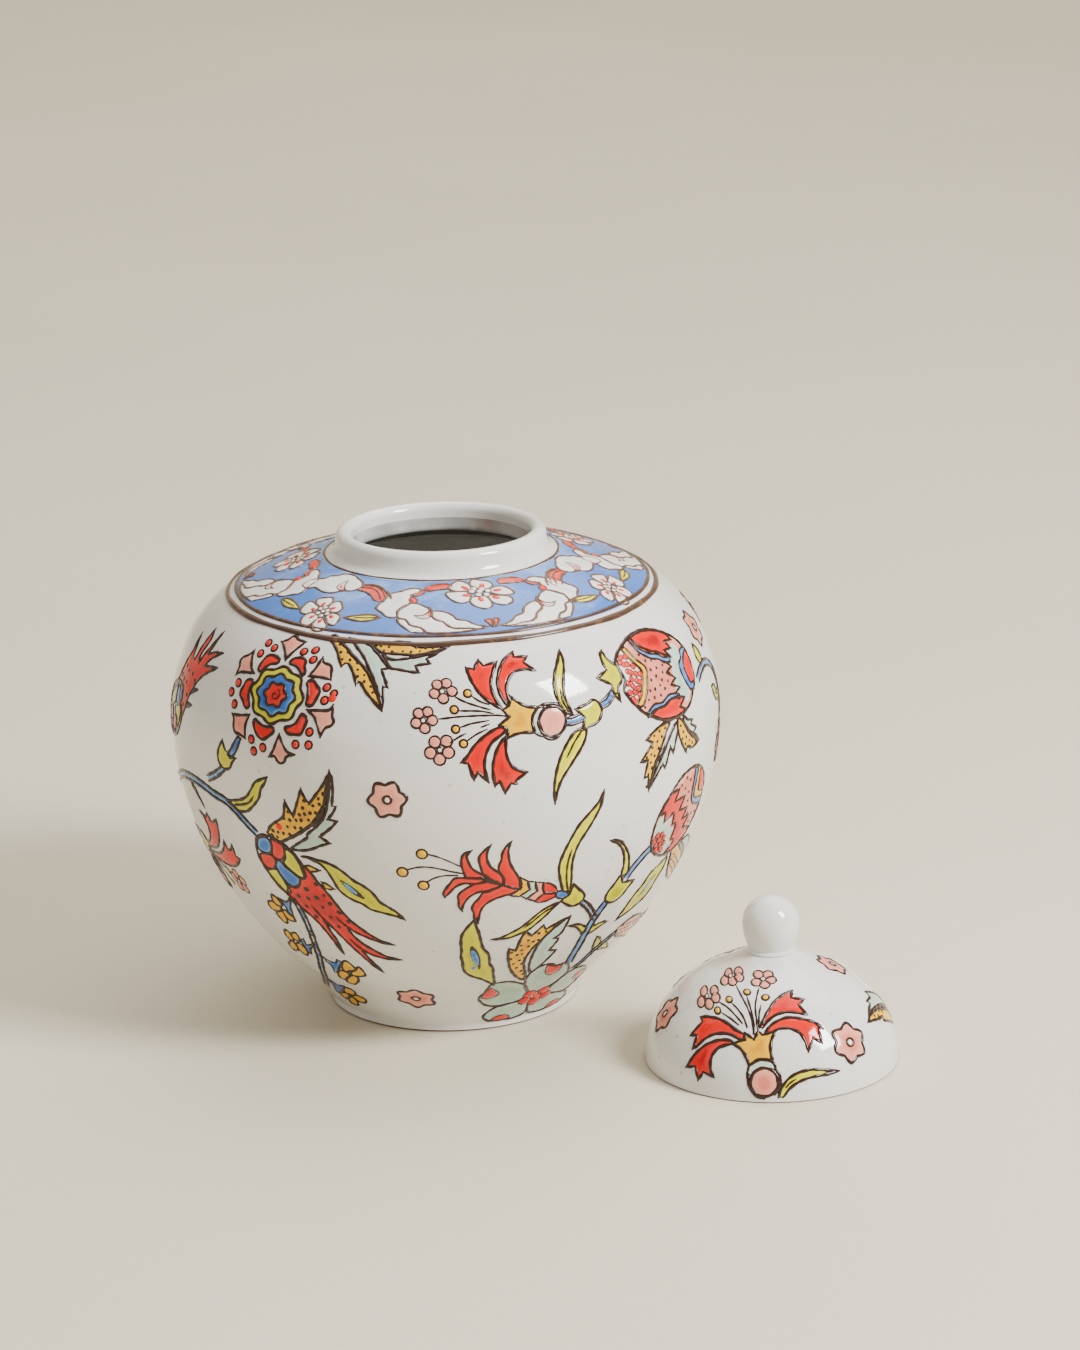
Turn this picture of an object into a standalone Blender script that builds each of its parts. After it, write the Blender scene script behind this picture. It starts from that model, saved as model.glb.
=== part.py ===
# Ginger jar: a turned, glazed jar with a cap lid that stands beside it.
# Metres, +Z up.  The origin is on the jar's axis, in the plane that the foot stands on.
# Three separate solids: the jar, the lid's dome, and the ball knob luted to the dome.

import bpy
import bmesh
from math import cos, sin, sqrt, pi, radians
from mathutils import Vector

# Jar: driving sizes
belly_radius = 0.110            # widest radius, outside
belly_height = 0.120            # level of the widest radius
foot_radius = 0.0503            # outside radius of the standing face
foot_height = 0.0022            # plain upright band above the foot's chamfer
foot_chamfer = 0.0008
shoulder_height = 0.1861        # level of the collar's base
collar_base_radius = 0.0455     # where the collar springs from the shoulder
collar_height = 0.0093          # collar's base to the top of the lip
lip_radius = 0.0419             # outside radius of the collar under the lip
mouth_radius = 0.0358           # clear radius through the collar
jar_wall = 0.0060
jar_floor = 0.0080
throat_drop = 0.0020            # the collar's bore ends this far below its base

# Lid: driving sizes
lid_fit = 0.0004                # radial gap between the lid's rim and the collar's base
lid_wall = 0.0036
lid_edge = 0.0005               # easing of the rim's two corners
dome_height = 0.0450            # rim to the seat under the knob
knob_radius = 0.0112
knob_rise = 0.0102              # seat to the knob's widest level
knob_neck_radius = 0.0082       # the knob's face on the seat
knob_gap = 0.0003               # slip joint between the dome and the knob
lid_tuck = 0.0091               # how far the standing lid's rim reaches in under the belly
lid_bearing = radians(-33.55)   # direction from the jar's axis to the lid's axis

# Worked-out places
lid_radius = collar_base_radius + lid_fit + lid_wall
lid_distance = belly_radius + lid_radius - lid_tuck
lid_place = Vector((cos(lid_bearing), sin(lid_bearing), 0)) * lid_distance

# Outline shares
# Lower wall: (share of the height from foot to belly, share of the radius from foot to belly).
lower_wall = ((0.10, 0.15), (0.25, 0.43), (0.43, 0.675), (0.63, 0.86), (0.83, 0.97))
# Shoulder: (share of the height from belly to collar, share of the radius from belly to collar).
shoulder = ((0.17, 0.012), (0.33, 0.052), (0.575, 0.168), (0.785, 0.39), (0.90, 0.655))
# Dome: (share of the dome's height, share of the lid's radius), rim to the knob's seat.
dome_curve = ((0.156, 0.988), (0.311, 0.943), (0.467, 0.865), (0.667, 0.700),
              (0.787, 0.541), (0.873, 0.384), (0.940, 0.263))

jar_segments = 64
lid_segments = 48
knob_segments = 32
merge_distance = 0.00001


def between(low, high, share):
    return low + (high - low) * share


def smooth_line(keys, steps):
    """Points on a smooth curve that passes through every key, with steps points to a span."""
    keys = [Vector(key) for key in keys]
    spans = [(b - a).length for a, b in zip(keys, keys[1:])]
    slopes = []
    for i in range(len(keys)):
        first, last = max(i - 1, 0), min(i + 1, len(keys) - 1)
        slopes.append((keys[last] - keys[first]) / sum(spans[first:last]))
    points = []
    for i, span in enumerate(spans):
        for step in range(steps):
            t = step / steps
            points.append(keys[i] * (1 + 2 * t) * (1 - t) ** 2
                          + slopes[i] * span * t * (1 - t) ** 2
                          + keys[i + 1] * t * t * (3 - 2 * t)
                          - slopes[i + 1] * span * t * t * (1 - t))
    points.append(keys[-1])
    return points


def set_in(points, distance):
    """The same line moved sideways by distance, towards the axis for a line that runs upwards."""
    moved = []
    for i, point in enumerate(points):
        along = (points[min(i + 1, len(points) - 1)] - points[max(i - 1, 0)]).normalized()
        moved.append(point + Vector((-along.y, along.x)) * distance)
    return moved


def material(name, colour, roughness):
    glaze = bpy.data.materials.new(name)
    glaze.use_nodes = True
    shader = glaze.node_tree.nodes["Principled BSDF"]
    shader.inputs["Base Color"].default_value = (*colour, 1)
    shader.inputs["Roughness"].default_value = roughness
    shader.inputs["Metallic"].default_value = 0
    return glaze


def turned(name, outline, segments, place, finish):
    """A solid of revolution about its own Z axis; the outline holds (radius, height) pairs."""
    shape = bmesh.new()
    corners = [shape.verts.new((point[0], 0, point[1])) for point in outline]
    edges = [shape.edges.new(pair) for pair in zip(corners, corners[1:])]
    bmesh.ops.spin(shape, geom=corners + edges, cent=(0, 0, 0), axis=(0, 0, 1),
                   angle=2 * pi, steps=segments, use_merge=True)
    bmesh.ops.remove_doubles(shape, verts=shape.verts, dist=merge_distance)
    bmesh.ops.recalc_face_normals(shape, faces=shape.faces)
    mesh = bpy.data.meshes.new(name)
    shape.to_mesh(mesh)
    shape.free()
    mesh.shade_smooth()
    mesh.set_sharp_from_angle(angle=radians(40))
    mesh.materials.append(finish)
    piece = bpy.data.objects.new(name, mesh)
    piece.location = place
    bpy.context.scene.collection.objects.link(piece)
    return piece


def jar_body():
    foot_top = foot_chamfer + foot_height
    lower = [(between(foot_radius, belly_radius, out), between(foot_top, belly_height, up))
             for up, out in lower_wall]
    upper = [(between(belly_radius, collar_base_radius, inward),
              between(belly_height, shoulder_height, up)) for up, inward in shoulder]
    wall_keys = [(foot_radius, foot_top), *lower, (belly_radius, belly_height), *upper,
                 (collar_base_radius, shoulder_height)]
    outer = smooth_line(wall_keys, 2)

    # The collar curves in from its base to a rounded lip, then the bore runs down.
    lip_top = shoulder_height + collar_height
    lip_middle = (lip_radius + mouth_radius) / 2
    lip_half = (lip_radius - mouth_radius) / 2
    flare = [(between(collar_base_radius, lip_radius, 0.62), between(shoulder_height, lip_top, 0.17)),
             (between(collar_base_radius, lip_radius, 0.90), between(shoulder_height, lip_top, 0.42))]
    lip = [(lip_middle + lip_half * cos(angle), lip_top - lip_half + lip_half * sin(angle))
           for angle in (pi * step / 8 for step in range(9))]
    bore_end = shoulder_height - throat_drop
    bore = [(mouth_radius, bore_end + throat_drop / 2), (mouth_radius + throat_drop / 4, bore_end)]

    # The inside follows the outside, one wall thickness in, down to a flat floor.
    inner = [point for point in reversed(set_in(outer[::2], jar_wall))
             if point.y > jar_floor + jar_wall / 2 and point.x > mouth_radius + throat_drop]
    floor_edge = (inner[-1].x - jar_wall, jar_floor)

    foot = [(0, 0), (foot_radius - foot_chamfer, 0), (foot_radius, foot_chamfer)]
    outline = [*foot, *outer, *flare, *lip, *bore, *inner, floor_edge, (0, jar_floor)]
    white = material("white_glaze", (0.83, 0.83, 0.81), 0.12)
    return turned("jar_body", outline, jar_segments, Vector(), white)


def lid_shell():
    dome = [(lid_radius * out, dome_height * up) for up, out in dome_curve]
    rim_top = (lid_radius, lid_edge)
    seat_edge = (knob_neck_radius + knob_gap, dome_height)
    outer = smooth_line([rim_top, *dome, seat_edge], 2)
    inner = [point for point in reversed(set_in(outer[::2], lid_wall))
             if lid_edge < point.y < dome_height - lid_wall]
    rim = [(lid_radius - lid_wall, lid_edge), (lid_radius - lid_wall + lid_edge, 0),
           (lid_radius - lid_edge, 0)]
    outline = [(0, dome_height - lid_wall), *inner, *rim, *outer, (0, dome_height)]
    white = material("lid_glaze", (0.83, 0.83, 0.81), 0.12)
    return turned("lid_shell", outline, lid_segments, lid_place, white)


def lid_knob():
    # The upper half is a ball; the lower half is a longer ellipse, cut off by the seat.
    centre = dome_height + knob_rise
    ball = [(knob_radius * cos(angle), centre + knob_radius * sin(angle))
            for angle in (radians(90 - 15 * step) for step in range(7))]
    drop = knob_rise - knob_gap
    lower_depth = drop / sqrt(1 - (knob_neck_radius / knob_radius) ** 2)
    drops = [drop * share for share in (0.25, 0.5, 0.75, 1)]
    lower = [(knob_radius * sqrt(1 - (down / lower_depth) ** 2), centre - down) for down in drops]
    outline = [*ball, *lower, (0, centre - drop)]
    white = material("knob_glaze", (0.85, 0.85, 0.83), 0.12)
    return turned("lid_knob", outline, knob_segments, lid_place, white)


for old in list(bpy.data.objects):
    bpy.data.objects.remove(old)

jar_body()
lid_shell()
lid_knob()
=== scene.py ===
import bmesh
import bpy
import numpy as np
from math import cos, hypot, pi, radians, sin, sqrt
from mathutils import Matrix, Vector


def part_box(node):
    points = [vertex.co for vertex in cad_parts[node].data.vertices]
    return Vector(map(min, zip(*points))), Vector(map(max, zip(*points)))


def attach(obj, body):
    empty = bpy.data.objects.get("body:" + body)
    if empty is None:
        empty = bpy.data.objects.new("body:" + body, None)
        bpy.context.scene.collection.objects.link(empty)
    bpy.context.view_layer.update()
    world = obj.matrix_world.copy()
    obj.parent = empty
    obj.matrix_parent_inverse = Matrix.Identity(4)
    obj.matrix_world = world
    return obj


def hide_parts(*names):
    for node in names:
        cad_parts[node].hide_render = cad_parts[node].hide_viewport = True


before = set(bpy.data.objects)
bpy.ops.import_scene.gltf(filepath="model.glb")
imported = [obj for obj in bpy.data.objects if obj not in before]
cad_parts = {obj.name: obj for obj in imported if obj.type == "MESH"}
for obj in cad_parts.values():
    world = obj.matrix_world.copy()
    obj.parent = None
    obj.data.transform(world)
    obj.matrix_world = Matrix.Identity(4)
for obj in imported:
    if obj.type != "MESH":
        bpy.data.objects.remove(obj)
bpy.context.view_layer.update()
print("frame loaded")
mm = 0.001
mergeDistance = 0.00001
sharpAngle = radians(40)


class Wire:                                  # one shader socket that can be added, multiplied and so on
    def __init__(self, finish, socket):
        self.finish, self.socket = finish, socket

    def maths(self, operation, first, second=0.0, clamp=False):
        node = self.finish.node("ShaderNodeMath", {"operation": operation, "use_clamp": clamp},
                                {0: first, 1: second})
        return Wire(self.finish, node.outputs[0])

    def __add__(self, other): return self.maths("ADD", self, other)
    def __radd__(self, other): return self.maths("ADD", other, self)
    def __sub__(self, other): return self.maths("SUBTRACT", self, other)
    def __rsub__(self, other): return self.maths("SUBTRACT", other, self)
    def __mul__(self, other): return self.maths("MULTIPLY", self, other)
    def __rmul__(self, other): return self.maths("MULTIPLY", other, self)
    def held(self): return self.maths("ADD", self, 0.0, True)      # kept between 0 and 1

    def ramp(self, low, high):               # 0 at low, 1 at high, eased
        node = self.finish.node("ShaderNodeMapRange", {"interpolation_type": "SMOOTHSTEP"},
                                {"Value": self, "From Min": low, "From Max": high})
        return Wire(self.finish, node.outputs["Result"])


class Finish:                                # one material being wired up
    def __init__(self, name, roughness=0.1, coat=0.0, specular=0.5):
        self.material = bpy.data.materials.new(name)
        self.material.use_nodes = True
        self.tree = self.material.node_tree
        self.shader = self.tree.nodes["Principled BSDF"]
        self.shader.inputs["Roughness"].default_value = roughness
        self.shader.inputs["Coat Weight"].default_value = coat
        self.shader.inputs["Specular IOR Level"].default_value = specular
        coords = self.node("ShaderNodeTexCoord")
        self.place = Wire(self, coords.outputs["Object"])

    def node(self, kind, settings=None, sockets=None):
        node = self.tree.nodes.new(kind)
        for name, value in (settings or {}).items():
            setattr(node, name, value)
        for name, value in (sockets or {}).items():
            self.feed(node.inputs[name], value)
        return node

    def feed(self, socket, value):
        if isinstance(value, Wire):
            self.tree.links.new(value.socket, socket)
        elif isinstance(value, (tuple, list)) and len(value) == 3 and socket.type == "RGBA":
            socket.default_value = (*value, 1)
        else:
            socket.default_value = value

    def noise(self, scale, detail=3.0, roughness=0.5, twist=0.0):
        node = self.node("ShaderNodeTexNoise", {}, {"Vector": self.place, "Scale": scale, "Detail": detail,
                                                    "Roughness": roughness, "Distortion": twist})
        return Wire(self, node.outputs["Fac"])

    def cells(self, scale):
        node = self.node("ShaderNodeTexVoronoi", {}, {"Vector": self.place, "Scale": scale})
        return Wire(self, node.outputs["Distance"])

    def depth(self):                         # 0 at a patch's edge, 1 in its middle
        node = self.node("ShaderNodeAttribute", {"attribute_name": "deep"})
        return Wire(self, node.outputs["Fac"])

    def mix(self, share, low, high):
        node = self.node("ShaderNodeMix", {"data_type": "RGBA"}, {0: share, 6: low, 7: high})
        return Wire(self, node.outputs[2])

    def bump(self, height, distance, strength=1.0):
        node = self.node("ShaderNodeBump", {}, {"Height": height, "Distance": distance, "Strength": strength})
        self.feed(self.shader.inputs["Normal"], Wire(self, node.outputs["Normal"]))

    def set(self, **sockets):
        for name, value in sockets.items():
            self.feed(self.shader.inputs[name.replace("_", " ")], value)
        return self.material


def linear(*rgb):                            # 0-255 screen colour to the renderer's own
    return tuple((v / 255 / 12.92) if v <= 10 else ((v / 255 + 0.055) / 1.055) ** 2.4 for v in rgb)


glazeLook = {                                # thin edge, usual and thick middle of each colour; gloss
    "red": ((236, 50, 28), (222, 10, 2), (158, 0, 0), 0.10),
    "pink": ((240, 176, 156), (234, 150, 128), (214, 108, 86), 0.14),
    "yellow": ((244, 190, 0), (232, 172, 0), (200, 130, 0), 0.12),
    "lime": ((230, 224, 50), (206, 202, 0), (170, 166, 0), 0.12),
    "pale": ((204, 220, 204), (178, 202, 184), (154, 182, 160), 0.14),
    "blue": ((100, 156, 216), (44, 104, 192), (14, 64, 160), 0.12),
    "ground": ((112, 154, 216), (66, 116, 194), (36, 84, 170), 0.16),
    "cream": ((236, 233, 226), (234, 231, 224), (220, 217, 210), 0.10),
    "ember": ((240, 84, 50), (224, 30, 12), (180, 2, 0), 0.12)}


def colourGlaze(name):
    thin, usual, thick, gloss = glazeLook[name]
    f = Finish(name + "Glaze", coat=0.12, specular=0.32)
    broad, fine = f.noise(70, 3, 0.55, 0.6), f.noise(420, 4, 0.6)
    pooled = (f.depth() * 0.75 + (broad - 0.5) * 1.1 + (fine - 0.5) * 0.35).held()
    edge = f.mix(pooled.ramp(0.0, 0.35), linear(*thin), linear(*usual))
    f.bump(broad * 0.7 + fine * 0.3, 0.00012, 0.5)
    return f.set(Base_Color=f.mix(pooled.ramp(0.45, 1.05), edge, linear(*thick)),
                 Roughness=gloss + (fine - 0.5) * 0.12)


speckBrown = (132, 112, 92)


def whiteGlaze(name, tint=(228, 225, 219)):
    f = Finish(name, coat=0.3)
    cloud, ripple = f.noise(9, 4, 0.5, 0.4), f.noise(55, 3, 0.5)
    speck = (0.16 - f.cells(170)).ramp(0.0, 0.07) * (f.noise(24, 2) - 0.47).ramp(0.0, 0.2)
    base = f.mix(cloud.ramp(0.3, 0.75), linear(*tint), linear(tint[0] - 8, tint[1] - 7, tint[2] - 8))
    base = f.mix(speck * 0.45, base, linear(*speckBrown))
    f.bump(ripple * 0.75 + f.noise(240, 2) * 0.25, 0.00022, 0.35)
    return f.set(Base_Color=base, Roughness=0.09 + (f.noise(160, 3) - 0.5) * 0.1)


def inkGlaze(name, dark, light, share=0.5):
    f = Finish(name, coat=0.1, specular=0.35)
    worn = f.noise(260, 4, 0.6)
    f.bump(worn, 0.0001, 0.5)
    return f.set(Base_Color=f.mix(worn.ramp(share, share + 0.35), linear(*dark), linear(*light)),
                 Roughness=0.18 + (worn - 0.5) * 0.2)


def clayFinish(name, light, dark):
    f = Finish(name)
    grain, blot = f.noise(900, 4, 0.65), f.noise(45, 3)
    f.bump(grain, 0.00015, 0.7)
    return f.set(Base_Color=f.mix((grain * 0.6 + blot * 0.4).ramp(0.35, 0.7), linear(*light), linear(*dark)),
                 Roughness=0.72 + (grain - 0.5) * 0.2)


mouthLook = {"rust": ((176, 112, 62), (120, 74, 44)), "grey": ((196, 196, 193), (158, 155, 150)),
             "across": (30.0, 12.0), "from": 0.62, "ragged": 1.4, "most": 0.75}


def stainedGlaze(name):                      # inside of the mouth: grey-white with a rusty run on one side
    f = Finish(name, coat=0.2)
    split = f.node("ShaderNodeSeparateXYZ", {}, {0: f.place})
    x, y = (Wire(f, split.outputs[i]) for i in (0, 1))
    rust, grey = ([linear(*tone) for tone in mouthLook[name]] for name in ("rust", "grey"))
    slopeX, slopeY = mouthLook["across"]
    run = x * slopeX + y * slopeY - mouthLook["from"] + (f.noise(60, 3) - 0.5) * mouthLook["ragged"]
    side = run.ramp(0.0, 1.0) * mouthLook["most"]
    rusty = f.mix(f.noise(180, 4).ramp(0.3, 0.75), *rust)
    plain = f.mix(f.noise(50, 3).ramp(0.35, 0.7), *grey)
    f.bump(f.noise(120, 3), 0.0002, 0.4)
    return f.set(Base_Color=f.mix(side, plain, rusty), Roughness=0.3 + (f.noise(90, 2) - 0.5) * 0.2)


finishes = {name: colourGlaze(name) for name in glazeLook}
finishes["ink"] = inkGlaze("inkGlaze", (44, 22, 12), (92, 56, 34), 0.58)
finishes["brownInk"] = inkGlaze("brownInk", (92, 62, 40), (128, 92, 62), 0.45)
finishes["ringInk"] = inkGlaze("ringInk", (72, 48, 34), (140, 96, 60), 0.5)
finishes["white"] = whiteGlaze("whiteGlaze")
finishes["lidWhite"] = whiteGlaze("lidGlaze", (228, 226, 221))
finishes["clay"] = clayFinish("bareClay", (206, 188, 164), (168, 146, 120))
# bare unglazed rim coloured dark brown: partly the clay's own tone, partly painted contact shadow where the
# jar's foot and the lid's rim meet the floor
finishes["edge"] = clayFinish("burntEdge", (120, 84, 52), (78, 52, 34))
finishes["inside"] = stainedGlaze("stainedGlaze")
# the inner wall below the collar is coloured dark grey with a matte finish
finishes["dark"] = clayFinish("innerGlaze", (120, 116, 110), (92, 88, 82))
print("materials made")

jar = {                                      # metres; the same outline as the frame's jar
    "bellyRadius": 0.110, "bellyHeight": 0.120, "footRadius": 0.0503, "footHeight": 0.0022,
    "footChamfer": 0.0008, "shoulderHeight": 0.1861, "collarBaseRadius": 0.0455, "collarHeight": 0.0093,
    "lipRadius": 0.0419, "mouthRadius": 0.0358, "wall": 0.006, "floor": 0.008, "throatDrop": 0.002,
    "segments": 256}
jarGlaze = {                                 # metres; where each finish of the jar begins
    "lipFrom": 0.1896, "throatFrom": 0.18, "throatReach": 0.001, "lipReach": 0.0025, "collarFrom": 0.184,
    "wallFrom": 0.047}
lid = {                                      # metres; the same outline as the frame's lid
    "fit": 0.0004, "wall": 0.0036, "edge": 0.0005, "domeHeight": 0.045, "knobRadius": 0.0112,
    "knobRise": 0.0102, "neckRadius": 0.0082, "neckGap": 0.0003, "knobSink": 0.0004, "bareRim": 0.0009,
    "neckFlare": ((0.0017, -0.0003), (0.0007, 0.0008)), "segments": 192, "knobSegments": 96}
lineSteps = 8                                # points to a span on the outlines
# share of the height, then share of the radius, from one end of a stretch to the other
lowerWall = ((0.10, 0.15), (0.25, 0.43), (0.43, 0.675), (0.63, 0.86), (0.83, 0.97))
shoulder = ((0.17, 0.012), (0.33, 0.052), (0.575, 0.168), (0.785, 0.39), (0.90, 0.655))
domeCurve = ((0.156, 0.988), (0.311, 0.943), (0.467, 0.865), (0.667, 0.700),
             (0.787, 0.541), (0.873, 0.384), (0.940, 0.263))


def between(low, high, share):
    return low + (high - low) * share


def smoothLine(keys, steps, closed=False):
    keys = [Vector(key) for key in keys]
    if closed:
        keys = [keys[-1], *keys, keys[0], keys[1]]
    spans = [max((b - a).length, 1e-9) for a, b in zip(keys, keys[1:])]
    slopes = []
    for i in range(len(keys)):
        first, last = max(i - 1, 0), min(i + 1, len(keys) - 1)
        slopes.append((keys[last] - keys[first]) / sum(spans[first:last]))
    points = []
    for i in range(1, len(keys) - 2) if closed else range(len(spans)):
        span = spans[i]
        count = steps if isinstance(steps, int) else max(2, round(span / steps))
        for step in range(count):
            t = step / count
            points.append(keys[i] * (1 + 2 * t) * (1 - t) ** 2 + slopes[i] * span * t * (1 - t) ** 2
                          + keys[i + 1] * t * t * (3 - 2 * t) - slopes[i + 1] * span * t * t * (1 - t))
    if not closed:
        points.append(keys[-1])
    return points


def setIn(points, distance):
    moved = []
    for i, point in enumerate(points):
        along = (points[min(i + 1, len(points) - 1)] - points[max(i - 1, 0)]).normalized()
        moved.append(point + Vector((-along.y, along.x)) * distance)
    return moved


def jarOutline():
    j = jar
    footTop = j["footChamfer"] + j["footHeight"]
    lower = [(between(j["footRadius"], j["bellyRadius"], out), between(footTop, j["bellyHeight"], up))
             for up, out in lowerWall]
    upper = [(between(j["bellyRadius"], j["collarBaseRadius"], inward),
              between(j["bellyHeight"], j["shoulderHeight"], up)) for up, inward in shoulder]
    outer = smoothLine([(j["footRadius"], footTop), *lower, (j["bellyRadius"], j["bellyHeight"]), *upper,
                        (j["collarBaseRadius"], j["shoulderHeight"])], lineSteps)
    lipTop = j["shoulderHeight"] + j["collarHeight"]
    middle, half = (j["lipRadius"] + j["mouthRadius"]) / 2, (j["lipRadius"] - j["mouthRadius"]) / 2
    lip = [(middle + half * cos(a), lipTop - half + half * sin(a)) for a in (pi * k / 16 for k in range(17))]
    flare = [Vector((between(j["collarBaseRadius"], j["lipRadius"], a),
                     between(j["shoulderHeight"], lipTop, b)))
             for a, b in ((0.62, 0.17), (0.90, 0.42))]
    collar = smoothLine([outer[-1], *flare, lip[0]], 5)[1:-1]
    boreEnd = j["shoulderHeight"] - j["throatDrop"]
    bore = [(j["mouthRadius"], z) for z in np.linspace(lipTop - half, boreEnd + 0.001, 9)[1:]]
    bore.append((j["mouthRadius"] + j["throatDrop"] / 4, boreEnd))
    inner = [p for p in reversed(setIn(outer[::4], j["wall"]))
             if p.y > j["floor"] + j["wall"] / 2 and p.x > j["mouthRadius"] + j["throatDrop"]]
    foot = [(0, 0), (j["footRadius"] * 0.5, 0), (j["footRadius"] - j["footChamfer"], 0),
            (j["footRadius"], j["footChamfer"])]
    line = [*foot, *outer, *collar, *lip, *bore, *inner, (inner[-1].x - j["wall"], j["floor"]),
            (0, j["floor"])]
    return [Vector(p) for p in line], outer


def lidOutline():
    v = lid
    radius = jar["collarBaseRadius"] + v["fit"] + v["wall"]
    dome = [(radius * out, v["domeHeight"] * up) for up, out in domeCurve]
    outer = smoothLine([(radius, v["edge"]), *dome, (v["neckRadius"] + v["neckGap"], v["domeHeight"])],
                       lineSteps)
    inner = [p for p in reversed(setIn(outer[::4], v["wall"]))
             if v["edge"] < p.y < v["domeHeight"] - v["wall"]]
    rim = [(radius - v["wall"], v["edge"]), (radius - v["wall"] + v["edge"], 0), (radius - v["edge"], 0)]
    centre = v["domeHeight"] + v["knobRise"]
    lowerDepth = v["knobRise"] / sqrt(1 - (v["neckRadius"] / v["knobRadius"]) ** 2)
    drops = [v["knobRise"] * k / 10 for k in range(1, 9)]
    lower = [(v["knobRadius"] * sqrt(1 - (d / lowerDepth) ** 2), centre - d) for d in reversed(drops)]
    flare = [(v["neckRadius"] + out, v["domeHeight"] + up) for out, up in v["neckFlare"]]
    ball = [(v["knobRadius"] * cos(a), centre + v["knobRadius"] * sin(a)) for a in np.linspace(0, pi / 2, 13)]
    dome = [(0, v["domeHeight"] - v["wall"]), *inner, *rim, *outer, (0, v["domeHeight"])]
    knob = [(0, v["domeHeight"] - v["knobSink"]), *flare, *lower, *ball]
    return [Vector(p) for p in dome], [Vector(p) for p in knob], outer


def pieceFrom(name, shape, *materials):
    mesh = bpy.data.meshes.new(name)
    shape.to_mesh(mesh)
    shape.free()
    mesh.shade_smooth()
    for material in materials:
        mesh.materials.append(material)
    piece = bpy.data.objects.new(name, mesh)
    bpy.context.scene.collection.objects.link(piece)
    return piece


def turned(name, outline, segments, place, finishFor):
    shape = bmesh.new()
    corners = [shape.verts.new((max(p[0], 0), 0, p[1])) for p in outline]
    edges = [shape.edges.new(pair) for pair in zip(corners, corners[1:])]
    bmesh.ops.spin(shape, geom=corners + edges, cent=(0, 0, 0), axis=(0, 0, 1), angle=2 * pi,
                   steps=segments, use_merge=True)
    bmesh.ops.remove_doubles(shape, verts=shape.verts, dist=mergeDistance)
    bmesh.ops.recalc_face_normals(shape, faces=shape.faces)
    names = []
    for face in shape.faces:
        centre = face.calc_center_median()
        finish = finishFor(hypot(centre.x, centre.y), centre.z)
        if finish not in names:
            names.append(finish)
        face.material_index = names.index(finish)
    bmesh.ops.translate(shape, verts=shape.verts, vec=place)
    piece = pieceFrom(name, shape, *(finishes[finish] for finish in names))
    piece.data.set_sharp_from_angle(angle=sharpAngle)
    return piece


def jarFinish(radius, z):
    # the foot's outer chamfer gets the dark rim finish, painted contact shadow on bare clay; the underside
    # stays plain clay
    if z < jar["footChamfer"]:
        return "clay" if radius < jar["footRadius"] - jar["footChamfer"] else "edge"
    if z > jarGlaze["lipFrom"]:
        return "white"
    if radius < jar["mouthRadius"] + jarGlaze["throatReach"] and z > jarGlaze["throatFrom"]:
        return "inside"
    outside = z > jarGlaze["collarFrom"] or radius > jarGlaze["wallFrom"]
    return "white" if outside and radius > jar["mouthRadius"] + jarGlaze["lipReach"] else "dark"


def lidFinish(radius, z):
    # the lid's bottom rim gets the dark rim finish, painted contact shadow on bare clay
    return "edge" if z < lid["bareRim"] else "lidWhite"


lidLow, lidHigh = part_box("lid_shell")
lidPlace = Vector(((lidLow[0] + lidHigh[0]) / 2, (lidLow[1] + lidHigh[1]) / 2, 0))
jarLine, jarOuter = jarOutline()
lidLine, knobLine, lidOuter = lidOutline()
jarPiece = turned("jarBody", jarLine, jar["segments"], Vector(), jarFinish)
lidPiece = turned("lidBody", lidLine, lid["segments"], lidPlace, lidFinish)
knobPiece = turned("knobBody", knobLine, lid["knobSegments"], lidPlace, lidFinish)
print("jar and lid turned")


class Skin:                                  # a turned face, read by bearing and by distance up its outline
    def __init__(self, name, line, place):
        points = np.array([tuple(p) for p in line])
        steps = np.diff(points, axis=0)
        self.name, self.place = name, np.array(place)
        self.run = np.concatenate([[0], np.cumsum(np.hypot(*steps.T))]) / mm
        self.points = points
        slope = np.gradient(points, self.run * mm, axis=0)
        slope /= np.hypot(*slope.T)[:, None]
        self.out = np.stack([slope[:, 1], -slope[:, 0]], axis=1)

    def radius(self, s):
        return np.interp(s, self.run, self.points[:, 0]) / mm

    def at(self, bearing, s, lift):
        s = np.clip(s, 0.3, self.run[-1] - 0.1)
        r, z = (np.interp(s, self.run, self.points[:, k]) for k in (0, 1))
        nr, nz = (np.interp(s, self.run, self.out[:, k]) for k in (0, 1))
        r, z = r + nr * lift * mm, z + nz * lift * mm
        return self.place + np.stack([r * np.sin(bearing), -r * np.cos(bearing), z], axis=-1)


jarSkin = Skin("jar", jarOuter, (0, 0, 0))
lidSkin = Skin("lid", lidOuter, lidPlace)
skins = {"jar": jarSkin, "lid": lidSkin}
paint = {}                                   # patches by skin, zone and colour
lines = {}                                   # strokes by skin, zone and ink, then by lift
brush = {                                    # drawn lines and dots; lengths in millimetres
    "width": 1.5, "flat": 0.5, "dots": 1.25, "step": 0.8, "taper": 2.2, "thorn": 1.1, "thornOut": 0.6}
pool = {                                     # a patch of glaze: its rise, its cuts, its soft edge
    "rise": 0.26, "grid": 1.3, "finest": 0.35, "soft": 0.875, "sink": 0.04, "deep": 3.2}


def cornered(points):                        # a corner is a point with a third value
    return any(len(p) > 2 for p in points)


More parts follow.
